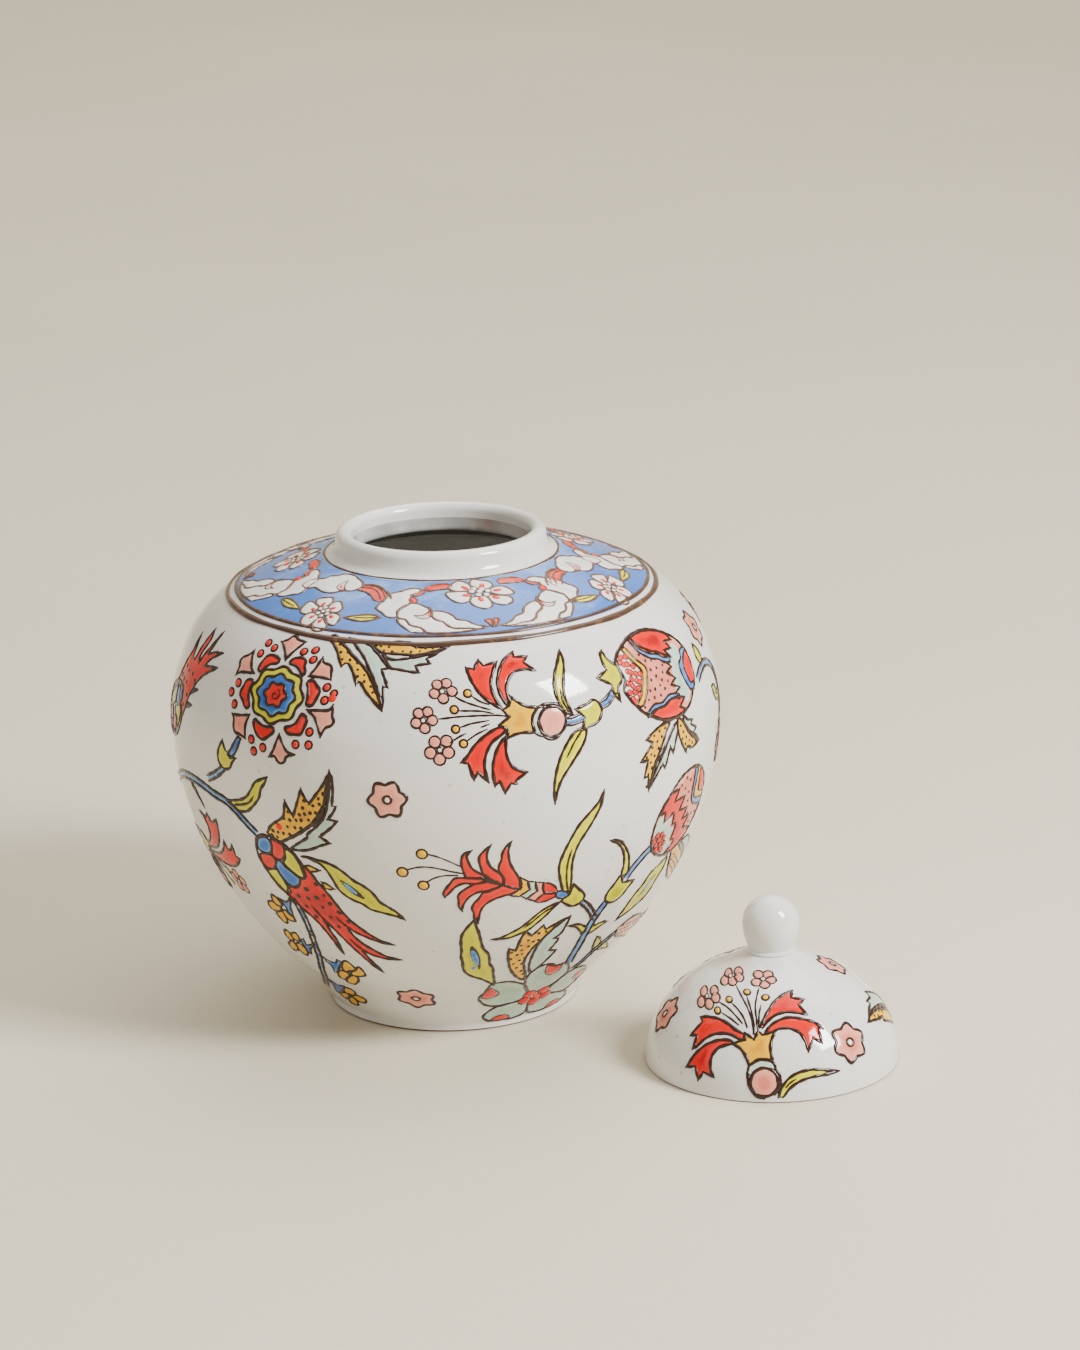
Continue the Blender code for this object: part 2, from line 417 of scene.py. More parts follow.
def traced(points):                          # a closed line, smooth between its corners
    flags = [len(p) > 2 for p in points]
    flat = [(p[0], p[1]) for p in points]
    if not cornered(points):
        return [smoothLine(flat, brush["step"], True)]
    first = flags.index(True)
    flat, flags = flat[first:] + flat[:first], flags[first:] + flags[:first]
    runs, run = [], [flat[0]]
    for point, corner in zip(flat[1:] + flat[:1], flags[1:] + [True]):
        run.append(point)
        if corner:
            runs.append(smoothLine(run, brush["step"]))
            run = [point]
    return runs


def keepLine(skin, zone, ink, lift, world, radii):
    group = lines.setdefault((skin.name, zone, ink), {})
    group.setdefault(round(lift, 2), []).append((world, radii * mm))


class Chart:                                 # a flat sheet in millimetres laid on a skin
    def __init__(self, skin, bearing, s, spin=None, shift=(0, 0), zone="", base=0.0):
        self.skin, self.bearing, self.s = skin, bearing, s
        self.spin = np.eye(2) if spin is None else spin
        self.shift, self.zone, self.base = np.array(shift, float), zone, base

    def part(self, x, y, turn=0, size=1, flip=1):      # a smaller chart inside this one
        c, n = cos(radians(turn)) * size, sin(radians(turn)) * size
        spin = self.spin @ np.array([[c, -n], [n, c]]) @ np.diag([flip, 1])
        return Chart(self.skin, self.bearing, self.s, spin, self.shift + self.spin @ np.array([x, y]),
                     self.zone, self.base)

    def flat(self, points):
        return np.array([(p[0], p[1]) for p in points]) @ self.spin.T + self.shift

    def onSkin(self, flat, lift):
        s = self.s + flat[:, 1]
        return self.skin.at(radians(self.bearing) + flat[:, 0] / self.skin.radius(np.clip(s, 0.3, None)), s,
                            lift)

    def borrow(self, other, points):         # the same places, read off another chart
        undo = np.linalg.inv(self.spin)
        result = []
        for p in points:
            q = other.flat([p])[0]
            s = other.s + q[1]
            radius = float(self.skin.radius(max(s, 0.3)))
            x = (radians(other.bearing - self.bearing) + q[0] / radius) * radius
            x, y = undo @ (np.array([x, s - self.s]) - self.shift)
            result.append((float(x), float(y), *p[2:]))
        return result

    def patch(self, colour, points, rise=pool["rise"], base=None):
        base = self.base if base is None else base
        runs = traced(points)
        flat = self.flat([p for run in runs for p in run[:-1]] if cornered(points) else runs[0])
        span = flat.max(0) - flat.min(0)
        step = min(pool["grid"], max(span.min() / 4, pool["finest"]))
        shape = bmesh.new()
        shape.faces.new([shape.verts.new((x, y, 0)) for x, y in flat])
        for axis in (0, 1):
            count = int(span[axis] / step)
            normal = (1, 0, 0) if axis == 0 else (0, 1, 0)
            for k in range(1, count + 1):
                where = flat[:, axis].min() + span[axis] * k / (count + 1)
                bmesh.ops.bisect_plane(shape, geom=[*shape.verts, *shape.edges, *shape.faces],
                                       plane_co=(where, where, 0), plane_no=normal, dist=1e-5)
        bmesh.ops.triangulate(shape, faces=shape.faces)
        co = np.array([v.co.xy for v in shape.verts])
        a, b = flat, np.roll(flat, -1, axis=0)
        ab = b - a
        t = np.clip(((co[:, None] - a) * ab).sum(-1) / np.maximum((ab ** 2).sum(-1), 1e-12), 0, 1)
        gap = np.sqrt(((co[:, None] - a - t[..., None] * ab) ** 2).sum(-1).min(1))
        dome = 1 - np.exp(-gap / pool["soft"])
        world = self.onSkin(co, base - pool["sink"] + rise * dome)
        deep = shape.verts.layers.float.new("deep")
        for v, p, d in zip(shape.verts, world, np.clip(gap / pool["deep"], 0, 1)):
            v.co = p
            v[deep] = d
        self.keep(shape, colour)

    def keep(self, shape, colour):
        for face in shape.faces:             # every face looks outward from the skin's axis
            face.normal_update()
            centre = face.calc_center_median()
            away = Vector((centre.x - self.skin.place[0], centre.y - self.skin.place[1], 0.02))
            if face.normal.dot(away) < 0:
                face.normal_flip()
        mesh = bpy.data.meshes.new("part")
        shape.to_mesh(mesh)
        shape.free()
        store = paint.setdefault((self.skin.name, self.zone, colour), bmesh.new())
        if "deep" not in store.verts.layers.float:
            store.verts.layers.float.new("deep")
        store.from_mesh(mesh)
        bpy.data.meshes.remove(mesh)

    def bead(self, colour, x, y, rx, ry=None, turn=0, high=0.35, base=None, sides=12):
        base = self.base if base is None else base
        ry = rx if ry is None else ry
        shape = bmesh.new()
        bmesh.ops.create_uvsphere(shape, u_segments=sides, v_segments=max(6, sides // 2), radius=1)
        bmesh.ops.scale(shape, vec=(rx, ry, high), verts=shape.verts)
        bmesh.ops.rotate(shape, matrix=Matrix.Rotation(radians(turn), 3, "Z"), verts=shape.verts)
        co = np.array([v.co for v in shape.verts])
        world = self.onSkin(self.flat(co[:, :2] + (x, y)), base - 0.05 + co[:, 2])
        deep = shape.verts.layers.float.new("deep")
        for v, p, h in zip(shape.verts, world, co[:, 2]):
            v.co = p
            v[deep] = max(h / high, 0) * min(rx / 2.5, 1)
        self.keep(shape, colour)

    def stroke(self, points, width=0.95, ink="ink", taper=(1, 1), step=brush["step"], base=None, raw=False):
        base = self.base if base is None else base
        width *= brush["width"]
        run = points if raw else smoothLine([(p[0], p[1]) for p in points], step)
        flat = self.flat(run)
        world = self.onSkin(flat, np.full(len(flat), base))
        reach = np.concatenate([[0], np.cumsum(np.hypot(*np.diff(flat, axis=0).T))])
        lead = np.clip(reach / brush["taper"], 0, 1) * (1 - taper[0]) + taper[0]
        tail = np.clip((reach[-1] - reach) / brush["taper"], 0, 1) * (1 - taper[1]) + taper[1]
        wave = 1 + 0.13 * np.sin(reach * 1.3 + flat[0, 0]) + 0.08 * np.sin(reach * 0.47 + flat[0, 1] * 2)
        radii = width / 2 * lead * tail * wave
        keepLine(self.skin, self.zone, ink, base, world, radii)

    def outline(self, points, width=0.95, ink="ink", base=None, thorn=brush["thorn"]):
        runs = traced(points)
        if not cornered(points):
            self.stroke([*runs[0], runs[0][0]], width, ink, base=base, raw=True)
            return
        for run in runs:
            whole = sum((b - a).length for a, b in zip(run, run[1:]))
            reach = min(thorn, whole / 4)
            start = run[0] + (run[0] - run[1]).normalized() * reach * brush["thornOut"]
            end = run[-1] + (run[-1] - run[-2]).normalized() * reach * brush["thornOut"]
            self.stroke([start, *run, end], width, ink, (0.35, 0.35), base=base, raw=True)

    def shape(self, colour, points, width=0.95, ink="ink", **more):
        self.patch(colour, points, **more)
        self.outline(points, width, ink, base=more.get("base"))

    def inlay(self, colour, points, width, low, high, ink="ink"):      # a patch on top of another
        self.patch(colour, points, base=low)
        self.outline(points, width, ink, base=high)

    def seeds(self, spots, r, sides, ringSides, width):
        for x, y in spots:
            self.bead("red", x, y, r, high=0.4, base=0.2, sides=sides)
            self.outline(around(x, y, r, ringSides), width, base=0.24)

    def stem(self, points, blue, total):     # a blue strip between two ink lines
        line = smoothLine([(p[0], p[1]) for p in points], 1.2)
        left, right = (setIn(line, sign * blue / 2) for sign in (1, -1))
        body = [tuple(p) for p in [*left, *reversed(right)]]
        for corner in (0, len(left) - 1, len(left), -1):
            body[corner] += (1,)
        self.patch("blue", body, rise=0.22)
        width = (total - blue) / 2 + 0.25
        for sign in (1, -1):
            self.stroke(setIn(line, sign * (blue / 2 + width / 2 - 0.15)), width, raw=True, taper=(0.6, 0.6))

    def dots(self, spots, radius):           # no two the same size, each turned its own way
        for k, (x, y, *big) in enumerate(spots):
            r = (big[0] if big else radius) * brush["dots"] * (1 + 0.14 * sin(k * 2.4))
            self.bead("ink", x, y, r, r * 0.88, 37 * k, 0.24, self.base + 0.2, 8)


# a ring of points, lobed if wanted
def around(x, y, radius, sides, squash=1.0, lobes=0, depth=0.0, turn=0.0):
    spots = []
    for k in range(sides):
        a = 2 * pi * k / sides
        r = radius * (1 + depth * cos(lobes * a))
        spots.append((x + r * cos(a + turn), y + r * squash * sin(a + turn)))
    return spots


# from here on, each motif is drawn in its own chart, in millimetres
def bead(c, x, y, r=1.25, colour="red", high=0.45):
    c.bead("ink", x, y, r + 0.8, high=0.26, base=c.base + 0.04)
    c.bead(colour, x, y, r, high=high, base=c.base + 0.12)


def rosette(c):
    beans = [
        [(-13.2, 11), (-12.5, 14.5), (-11, 17), (-8.5, 17.6), (-5.5, 17), (-4.2, 16), (-5, 14.8), (-8, 13.8),
         (-10, 11.8), (-11.2, 10)],
        [(1, 16), (1.7, 18), (5.5, 19), (7.5, 18), (8.5, 15), (9.5, 13.5), (9, 12), (7, 13.5), (5, 15)],
        [(12.2, 9.5), (13.5, 10.5), (15, 10.2), (17, 8.5), (18.7, 7), (18.2, 4), (17, 1), (14.5, 1),
         (14.2, 4), (13.2, 7.5)],
        [(13, -3), (14, -3), (16, -4.5), (15.5, -8), (14.5, -10.5), (12.5, -11), (8.5, -11), (6.7, -9),
         (9, -8.2), (11.5, -6.5)],
        [(-9, -9), (-8.2, -8.2), (-7, -9), (-3, -10.2), (1.5, -10), (1.7, -11.5), (0, -13.2), (-3, -15.2),
         (-5, -14.7), (-7.5, -12.5)],
        [(-13.7, 5.7), (-14.7, 1.5), (-14, -1.5), (-12.7, -4), (-14, -5), (-15.5, -4.5), (-17, -2.5),
         (-19, -1), (-19.2, 0.5), (-18.2, 3), (-17.5, 5), (-15.5, 6)]]
    stars = [
        [(-8.2, 24, 1), (-5.5, 25.5), (-4.5, 27.2), (-2.7, 27.7), (-1, 26.5), (3, 26, 1), (1.5, 23.5),
         (-0.5, 20), (-1.7, 16.7, 1), (-3, 19), (-6, 22.5)],
        [(14, 20.5, 1), (15.5, 18.5), (19, 17.5), (20.7, 14.5), (21.5, 11.7, 1), (17, 12.2), (11.7, 12, 1),
         (13.2, 15.5)],
        [(15.2, -1, 1), (21.5, -0.5), (24.5, 0), (25.7, 2, 1), (26.5, -2), (27.5, -4.5), (26.5, -6),
         (24.5, -7), (23, -10.5, 1), (21.5, -7.5), (19, -3.5)],
        [(4.7, -12, 1), (6.5, -15), (9, -18), (12.5, -18.7, 1), (9, -20), (8, -22.2), (6.2, -23), (4.5, -22),
         (3.5, -20.7), (0.7, -21.2, 1), (2.5, -18.5), (3.5, -15.5)],
        [(-11.7, -7.2, 1), (-13, -11.5), (-12.4, -16.5, 1), (-15.5, -15.5), (-18.5, -15.2), (-19.7, -13),
         (-20, -10.5), (-21.5, -8.7, 1), (-18, -8.5)],
        [(-19.6, 17.5, 1), (-19, 14.5), (-17, 10.5), (-14.5, 8.7, 1), (-20, 8), (-22.5, 7.5), (-24.5, 6.1, 1),
         (-24, 10), (-24.9, 11.5), (-24, 13.5), (-21.5, 15)]]
    for star in stars:
        c.shape("pink", star)
    for bean in beans:
        c.shape("red", bean, 1.0)
    c.shape("lime", around(-0.5, 2.7, 12.3, 48, 0.88, 8, 0.06), 1.0)
    blue = around(-0.5, 2.6, 8.9, 48, 0.88, 8, 0.08)
    c.inlay("blue", blue, 0.85, 0.16, 0.26)
    heart = around(-0.5, 2.6, 5.0, 36, 0.9, 6, 0.12)
    c.inlay("red", heart, 0.9, 0.32, 0.4)
    c.stroke([(-0.5 + 0.33 * a * cos(a), 2.6 + 0.33 * a * sin(a)) for a in np.linspace(0.5, 7.5, 16)], 0.5,
             base=0.55, step=0.3)
    for x, y in ((-14.2, 22), (-10, 20.6), (-15.6, 16.9), (4.6, 21.7), (9.2, 23.1), (10.4, 18.9), (21.1, 8.5),
                 (21.7, 3.4), (18.1, -9.2), (12.7, -14.7), (18.5, -14.2), (-9, -16.2), (-2.7, -18.3),
                 (-7.3, -20.5), (-21.7, 3.4), (-24.6, -0.8), (-21.3, -4.9)):
        bead(c, x, y)
    bead(c, 24.8, 6.4, 1.1)
    c.bead("red", 24.7, 4.6, 1.8, 1.7, high=0.5)
    c.shape("blue", [(-14.8, -17.2, 1), (-16.7, -16.8), (-20.5, -22.5), (-22.7, -25, 1), (-20.6, -26.5, 1),
                     (-17.5, -23)], 0.9)


def calyxWithStem(c):                        # the cup under the rosette, on its own short stem
    c.shape("lime", [(-2.6, 11.2, 1), (-5, 7), (-5.7, 3), (-4, 0), (-1, -1.2), (2.5, 0), (4.5, 3),
                     (6.8, 5.2, 1), (3.4, 5.2), (0.8, 6.8, 1), (-0.6, 7.6)])
    c.stem([(-1.6, -0.6), (-5, -3.2), (-9, -5.8), (-15.5, -9)], 1.9, 3.4)


def floret(c, x, y, petals, r=1.85):
    for px, py in petals:
        c.bead("pink", px, py, r, r * 1.08, 20 * px, 0.3)
        c.outline(around(px, py, r + 0.12, 8), 0.62)
    c.bead("cream", x, y, 0.95, high=0.42)
    c.outline(around(x, y, 0.95, 7), 0.5, base=0.1)


def plainFloret(c, x, y, size=1.0, turn=0):
    ring = [(x + 3.3 * size * cos(radians(turn + 72 * k)), y + 3.3 * size * sin(radians(turn + 72 * k)))
            for k in range(5)]
    floret(c, x, y, ring, 1.9 * size)


def ribbon(c, points):
    c.shape("red", points, 1.0)


def trumpet(c):
    floret(c, -12.9, 10.8, [(-14.5, 13.5), (-11, 14), (-9.2, 10.7), (-12.7, 8), (-15.9, 10)])
    floret(c, -21, -0.2, [(-22.5, 2.5), (-19, 3), (-17.5, -0.2), (-20.5, -3.2), (-23.7, -1.2)])
    floret(c, -15.5, -11.5, [(-17.1, -8.4), (-12.7, -8.2), (-12.2, -12.5), (-15.7, -15), (-19, -12.5)], 2.1)
    for x, y in ((-3.4, 9.6), (-9, 3.6), (-9, -3.8), (-6.4, -9.4)):
        bead(c, x, y, 1.2, "yellow")
    for line in ([(-9, 9), (-5, 6.5), (2, 3.7), (5, 2.7)], [(-2.2, 8.6), (1, 6.2), (4.5, 4.7)],
                 [(-7.2, 3.1), (1, 2.5), (6, 1.2)], [(-15.5, 0.2), (-6, 0.9), (7, 0.5), (12, -0.5)],
                 [(-7.2, -3.2), (-3, -2), (4, -1.2)], [(0.5, -3.6), (4.2, -2.5)],
                 [(-12, -9.2), (-8, -6.8), (-5, -5.5)], [(-5, -8.4), (-1, -6), (3.2, -4.4)]):
        c.stroke(line, 0.6, taper=(0.7, 0.5))
    ribbon(c, [(9.5, 2.5, 1), (5, 5.5), (1, 9.5), (-1.7, 15), (-3, 20.2, 1), (0, 19.2, 1), (2, 23.2, 1),
               (3.7, 20.5, 1), (9, 21.7, 1), (7, 17.5), (5.7, 13), (6, 9.5), (7.5, 5.5)])
    ribbon(c, [(11.5, 3.5, 1), (9.5, 7), (8.2, 12), (9.5, 18), (12, 22.5), (15.7, 25.5, 1), (16, 23, 1),
               (21.2, 22.7, 1), (19.5, 20.2, 1), (23.7, 16.2, 1), (20, 17.2), (15.5, 16.7), (12.5, 13.5),
               (11.5, 9.5), (12.2, 5)])
    ribbon(c, [(10.5, -4.5, 1), (8, -4), (3, -6.2), (-2, -10), (-5.5, -14.5), (-7.7, -16.5, 1), (-5, -17, 1),
               (-3, -23.5, 1), (-1.5, -20.5, 1), (2.5, -24.7, 1), (1.5, -21), (1.2, -18), (2, -14),
               (4.5, -9.7), (9.5, -6.2)])
    ribbon(c, [(10, -7.5, 1), (7, -11), (5, -15.5), (4.2, -20.5), (4.9, -26.5, 1), (6.8, -24.6, 1),
               (8.8, -29.6, 1), (11, -26, 1), (13.6, -26.4, 1), (13, -25, 1), (17.5, -22.2, 1), (14.5, -21.2),
               (11.5, -19), (9.8, -14.5)])
    c.shape("yellow", [(12.5, 7.5, 1), (15, 5), (19, 2.5), (23, 1.5), (21, -1), (20.5, -4), (21.2, -7.2),
                       (17, -7), (13, -7.5), (10.5, -8.7, 1), (11, -5.5, 1), (7.7, -3.2, 1), (12, -0.5, 1),
                       (9.3, 2.2, 1), (12.2, 3.7, 1)], 1.0)
    c.shape("pale", [(23, 1.7), (21.2, -1), (20.7, -4), (21.3, -7.4), (24.7, -9), (23.5, -3), (25.5, 1.4)],
            0.85)
    c.shape("pink", around(28.7, -4.3, 5.7, 12), 1.0)
    c.stroke([(23, 2), (27, 2.6), (32, 1.4), (35.2, -3)], 1.0, taper=(0.6, 0.4))
    c.stroke([(24.5, -9.4), (28.5, -11), (32.5, -9.4)], 0.9, taper=(0.6, 0.4))


def ribs(c, points, width=0.65):
    c.stroke(points, width, base=0.18, taper=(0.9, 0.3))


def calyxPair(c):                            # stem, two long leaves, a ball cup and a star cup
    c.shape("lime", [(-6.7, 21, 1), (-9.7, 16.5), (-13.5, 11), (-15.2, 6.5), (-15.2, 2), (-13.5, -3),
                     (-10.2, -5.2, 1), (-11.2, -2), (-12, 3), (-10.7, 8), (-8.5, 13), (-7, 17.5)])
    ribs(c, [(-11.4, -4.5), (-13.2, 0.5), (-13, 5.7)])
    c.stem([(-14, -7.4), (-10, -7.2), (-6, -6.5)], 1.9, 3.4)
    c.shape("lime", [(-7.5, -10.5, 1), (-11.5, -12), (-15.5, -16), (-18.5, -20.5), (-20.8, -26.5),
                     (-21.6, -32), (-21.2, -38.3, 1), (-19.7, -32), (-18, -28.5), (-13.5, -23), (-9.5, -18.5),
                     (-7, -15), (-6, -11.5)])
    ribs(c, [(-8, -11.5), (-12, -15.5), (-16, -21)])
    c.shape("lime", [(-8.7, -3.2, 1), (-3, -2), (-0.5, -1), (1.5, -2), (2.7, -5), (1.5, -8), (-1, -10),
                     (-4.5, -10.7), (-7.4, -11.7, 1), (-5.5, -6.7, 1)])
    c.stem([(2.5, -4), (6.5, -2.5), (10.5, 0.5)], 1.9, 3.4)
    c.shape("lime", [(11.2, 17, 1), (12, 13), (15.5, 8.5), (15.4, 3.5), (12.7, 1.2), (12.4, -4.2, 1),
                     (10.2, -1), (10, 3, 1), (4.2, 6.7, 1), (9.7, 8.8, 1), (9.2, 12), (9.7, 15.5)])


def pomegranate(c):
    c.shape("pink", [(-18.5, 16.5), (-15, 19.5), (-9.5, 22.2), (-4, 24.2), (1.5, 24.7), (7, 24), (12, 22.2),
                     (17, 19.2), (21, 16), (24, 12), (25.7, 8), (26.2, 3.5), (25.5, -1), (23.5, -4),
                     (20.5, -6.5), (16.5, -10), (11, -12), (6, -12.6), (0, -12.2), (-5.5, -11), (-10.5, -8.5),
                     (-14.5, -6), (-18, -2), (-20, 1.5), (-21.2, 4.5, 1), (-18.7, 8), (-19.2, 12.5)], 1.1,
            rise=0.16)
    c.patch("pale", [(10.5, 13, 1), (15, 13.6), (17.6, 15, 1), (20.8, 10), (19.2, 7), (16.4, 5.8), (15.7, 3),
                     (16.6, -1), (18.6, -5), (14, -9.4, 1), (11, -6.8), (6.7, -4.6, 1), (8.8, 0),
                     (9.6, 5, 1)],
            base=0.12)
    c.patch("cream", [(-18.4, 16.2), (-14.5, 19), (-12.6, 19.6, 1), (-11, 14), (-8.7, 9.5), (-11, 4.5),
                      (-13.5, 0.5), (-17.4, -2, 1), (-20.4, 4.5), (-18.4, 8), (-19, 12)], base=0.1, rise=0.1)
    c.seeds(((-15.7, 17), (-13.2, 16.7), (-17.2, 15.2), (-16, 14), (-14.2, 13.7), (-12, 12.2),
             (-15.7, 11), (-14.5, 10.2), (-12.2, 9.2), (-10, 8.5), (-15.5, 7.7), (-13, 6.5), (-11.5, 5.5),
             (-16, 5), (-18.7, 3), (-16.2, 2.5), (-13.7, 3.5), (-14, 1), (-18, 0.2), (-17.2, -1),
             (-18, 6.5)), 1.2, 10, 6, 0.3)
    rim = [(-12.9, 19.6, 1), (-11, 14), (-8.7, 9.5), (-11, 4.5), (-13.5, 0.5), (-17.4, -2.4, 1),
           (-14.5, -3.4), (-10.3, 0.6), (-7.8, 5), (-5.8, 10), (-9, 14.7), (-10.8, 20.6, 1)]
    c.inlay("yellow", rim, 0.8, 0.16, 0.2)
    c.dots(((-6, 15.7), (-4.2, 12.7), (-1, 11.9), (-3.5, 8.7), (0.4, 8.5), (4.5, 8.5), (-1.7, 5.6), (3, 6),
            (-5.2, 4.9), (1, 3.4), (-1.1, 1.7), (-4.7, 1.1), (4.5, 2.1), (-7.8, 1.2), (1.2, -0.2),
            (-10.1, -2), (-6.5, -1.9), (-2.5, -1.9), (-13.3, -4.2), (7.2, 4.4), (7.4, -0.6)), 0.6)
    upper = [(-4.7, 23.4, 1), (-3.4, 19.4), (1, 15.6), (5, 14), (8, 12), (12.5, 9.6, 1), (9.5, 13.5, 1),
             (15.2, 12.7, 1), (12.5, 16.6, 1), (18.4, 15.6, 1), (15.5, 19.6), (8, 23), (1.5, 24.1)]
    lower = [(-10.8, -8, 1), (-6, -6.2), (-1.5, -6.3), (2.5, -5), (7, -5), (12.7, -6.7, 1), (7.5, -9.3, 1),
             (12, -11.2, 1), (5.8, -12.2), (0, -11.9), (-5.5, -10.7)]
    for patch in (upper, lower):
        c.inlay("red", patch, 0.85, 0.18, 0.22)
    for band in ([(-6, 23), (-4.6, 18.6), (0, 14.6), (4.5, 13), (7, 11), (11, 10.2)],
                 [(-12.5, -6.6), (-8, -4.4), (-3, -4.8), (2, -3.2), (6.5, -3.6), (9.4, -4.6)]):
        edge = smoothLine(band, 3)
        body = [(p.x, p.y) for p in edge] + [(p.x - 0.6, p.y - 1.9) for p in reversed(edge)]
        c.inlay("blue", body, 0.7, 0.2, 0.22)
    zig = [(6, 9.9), (10.2, 6.2), (5, 5), (10.5, 1.5), (5.5, 0), (11.5, -2.5), (7, -3.7)]
    for a, b in zip(zig, zig[1:]):
        c.stroke([a, ((a[0] + b[0]) / 2, (a[1] + b[1]) / 2 + 0.3), b], 0.8, base=0.2, taper=(0.7, 0.7))
    side = [(24.7, 10.8, 1), (20, 10), (19, 7.5), (16, 6), (15.5, 3), (16.5, -1), (18.5, -5), (21.9, -6, 1),
            (23.6, -3.6), (20.5, -3), (19.2, 1), (19, 4.5), (22, 8), (24.6, 9.4, 1)]
    c.inlay("blue", side, 0.8, 0.2, 0.22)
    heart = [(25, 9), (22, 7.6), (19.8, 4.2), (19.8, 1), (21, -2.6), (23.8, -3.2), (25.6, -0.5), (26, 4)]
    c.patch("red", heart, base=0.18)


def jaggedLeaf(c, yellow, pale, rib, spots, spotSize=0.6):
    c.shape("yellow", yellow, 1.0)
    c.shape("pale", pale, 1.0)
    c.stroke(rib, 1.0, taper=(0.4, 0.6))
    c.dots(spots, spotSize)


def pomLeaves(c, mid, fruit):
    jaggedLeaf(c, [(0, -12.9, 1), (-5.5, -12.9), (-11.5, -14.5), (-16, -16.6, 1), (-12.5, -18.3, 1),
                   (-19.7, -24.6, 1), (-15.5, -24.8, 1), *c.borrow(mid, [(16.8, 10.5, 1), (19.3, 10.5, 1),
                   (19.5, 4.4, 1), (20.7, 8), (22.2, 13.6), (25, 18), (28, 22)]), (-3.5, -16)],
               c.borrow(fruit, [(0.5, 34, 1), (0, 30.5), (-2, 26.5), (-3.7, 22, 1), (-5.7, 25.5, 1),
                                (-9, 17.2, 1), (-10.7, 19.7, 1), (-14, 16), (-17.8, 11.6, 1), (-16, 16),
                                (-12, 21.5), (-7, 27.6), (-2, 32.5)]),
               c.borrow(fruit, [(-2, 33), (-10, 25.5), (-14.5, 21), (-16.8, 16.5), (-18.2, 12)]),
               ((-4.4, -14.6), (-8, -15), (-11.4, -16), (-7, -17.4), (-10, -18.6), (-13, -20.4),
                (-9.6, -21.4), (-14, -22.8), (-16.4, -23.6), (-12, -23.8), (-14.2, -26), (-13.6, -28.4),
                (-15.4, -30.6), (-14.6, -33.4), (-16, -35.4)))
    jaggedLeaf(c, [(4.7, -12.6, 1), (4.5, -19.5), (6.6, -24), (10.2, -28.7, 1), (10.5, -26, 1),
                   (15, -27.9, 1), (21.5, -26.5, 1), (17, -24.5), (12, -20.6), (8, -15)],
               [(9, -12.6, 1), (12, -15.5), (16.3, -16.7, 1), (14, -18, 1), (18.9, -20.5, 1), (16, -22, 1),
                (21.3, -26.2, 1), (17, -23.4), (12, -19.6), (9, -15)],
               [(21, -26), (17, -24.2), (12, -20.4), (7.5, -14.5)],
               ((6.2, -16.5), (7.6, -19.4), (6.8, -21.8), (9.6, -22), (9, -24.6), (12, -24), (14.6, -25.6),
                (11.8, -26.2), (17.8, -26)))


def fruit(c):
    c.shape("pink", [(-11, -12), (-10.7, -6), (-8.5, -0.5), (-5, 3.5), (0, 8), (5, 10.5), (11.5, 11.5),
                     (16.5, 11), (21.5, 9), (25.5, 5), (28, -1), (27.6, -8), (25, -13.5), (20, -19),
                     (13.5, -23), (9, -24.5), (2, -24.2), (-3, -22.5), (-7.5, -19.5), (-10, -16)], 1.1,
            rise=0.16)
    crown = [(-3.2, 5, 1), (-6.5, 1.5), (-9.4, -3, 1), (-5.5, -2.2, 1), (-5, -6.7, 1), (1, -4.5), (2, -10, 1),
             (5, -10.5), (4, -17.5, 1), (7.5, -19), (2.2, -23.8, 1), (9, -24), (14, -22), (20, -19.6, 1),
             (19, -16.4, 1), (12.5, -15, 1), (16.2, -10.3, 1), (9.5, -10, 1), (12.5, -5.6, 1), (5, -5, 1),
             (8.2, 0.7, 1), (0, 0.5, 1), (2.5, 5.6, 1)]
    c.inlay("red", crown, 0.85, 0.16, 0.2)
    c.patch("pale", [(-9.2, -4.4, 1), (-6, -3.6), (-5.4, -7.6, 1), (0, -6), (1, -11, 1), (4, -11.6),
                     (3, -18, 1), (6, -19.6), (1.4, -23.4, 1), (-2.6, -22), (-1, -16), (-4, -12),
                     (-10.4, -11.4, 1)], base=0.12)
    c.seeds(((-7.7, -11.9), (-4.4, -12.4), (-9.2, -14.2), (-5.8, -14.6), (-2.4, -14.6), (-7, -16.6),
             (-3.9, -17), (-6, -19), (-3, -19.2), (-1.2, -17.4), (-1.6, -20.6)), 1.15, 12, 7, 0.36)
    side = [(15.2, 10.6, 1), (14.7, 5), (14.5, 0), (16, -4), (19, -6), (24, -7.6), (27.6, -8, 1),
            (27.8, -5.4, 1), (19, -3.5), (16.7, -1), (17, 4), (18, 10.2, 1)]
    c.patch("yellow", [(17.6, 10), (17, 4), (16.8, -1), (19, -3.4), (27.4, -5.4), (27.8, -3), (20.6, -0.6),
                       (20.4, 3), (20.4, 9)], base=0.16)
    c.patch("red", [(20.4, 9), (20.5, 3), (20.7, -0.4), (27.6, -3), (27.6, 0), (25.2, 5)], base=0.17)
    c.inlay("blue", side, 0.8, 0.2, 0.22)
    c.dots(((4, 6.5), (8, 8.4), (7.6, 4), (11.4, 6.6), (11, 1.6), (11.8, -2.6), (14.2, -9), (19, -10.4),
            (18.2, -14), (23, -11)), 0.6)
    c.stroke([(20.4, 8.6), (20.6, 2), (22, -1), (27.6, -3)], 0.7, base=0.22)


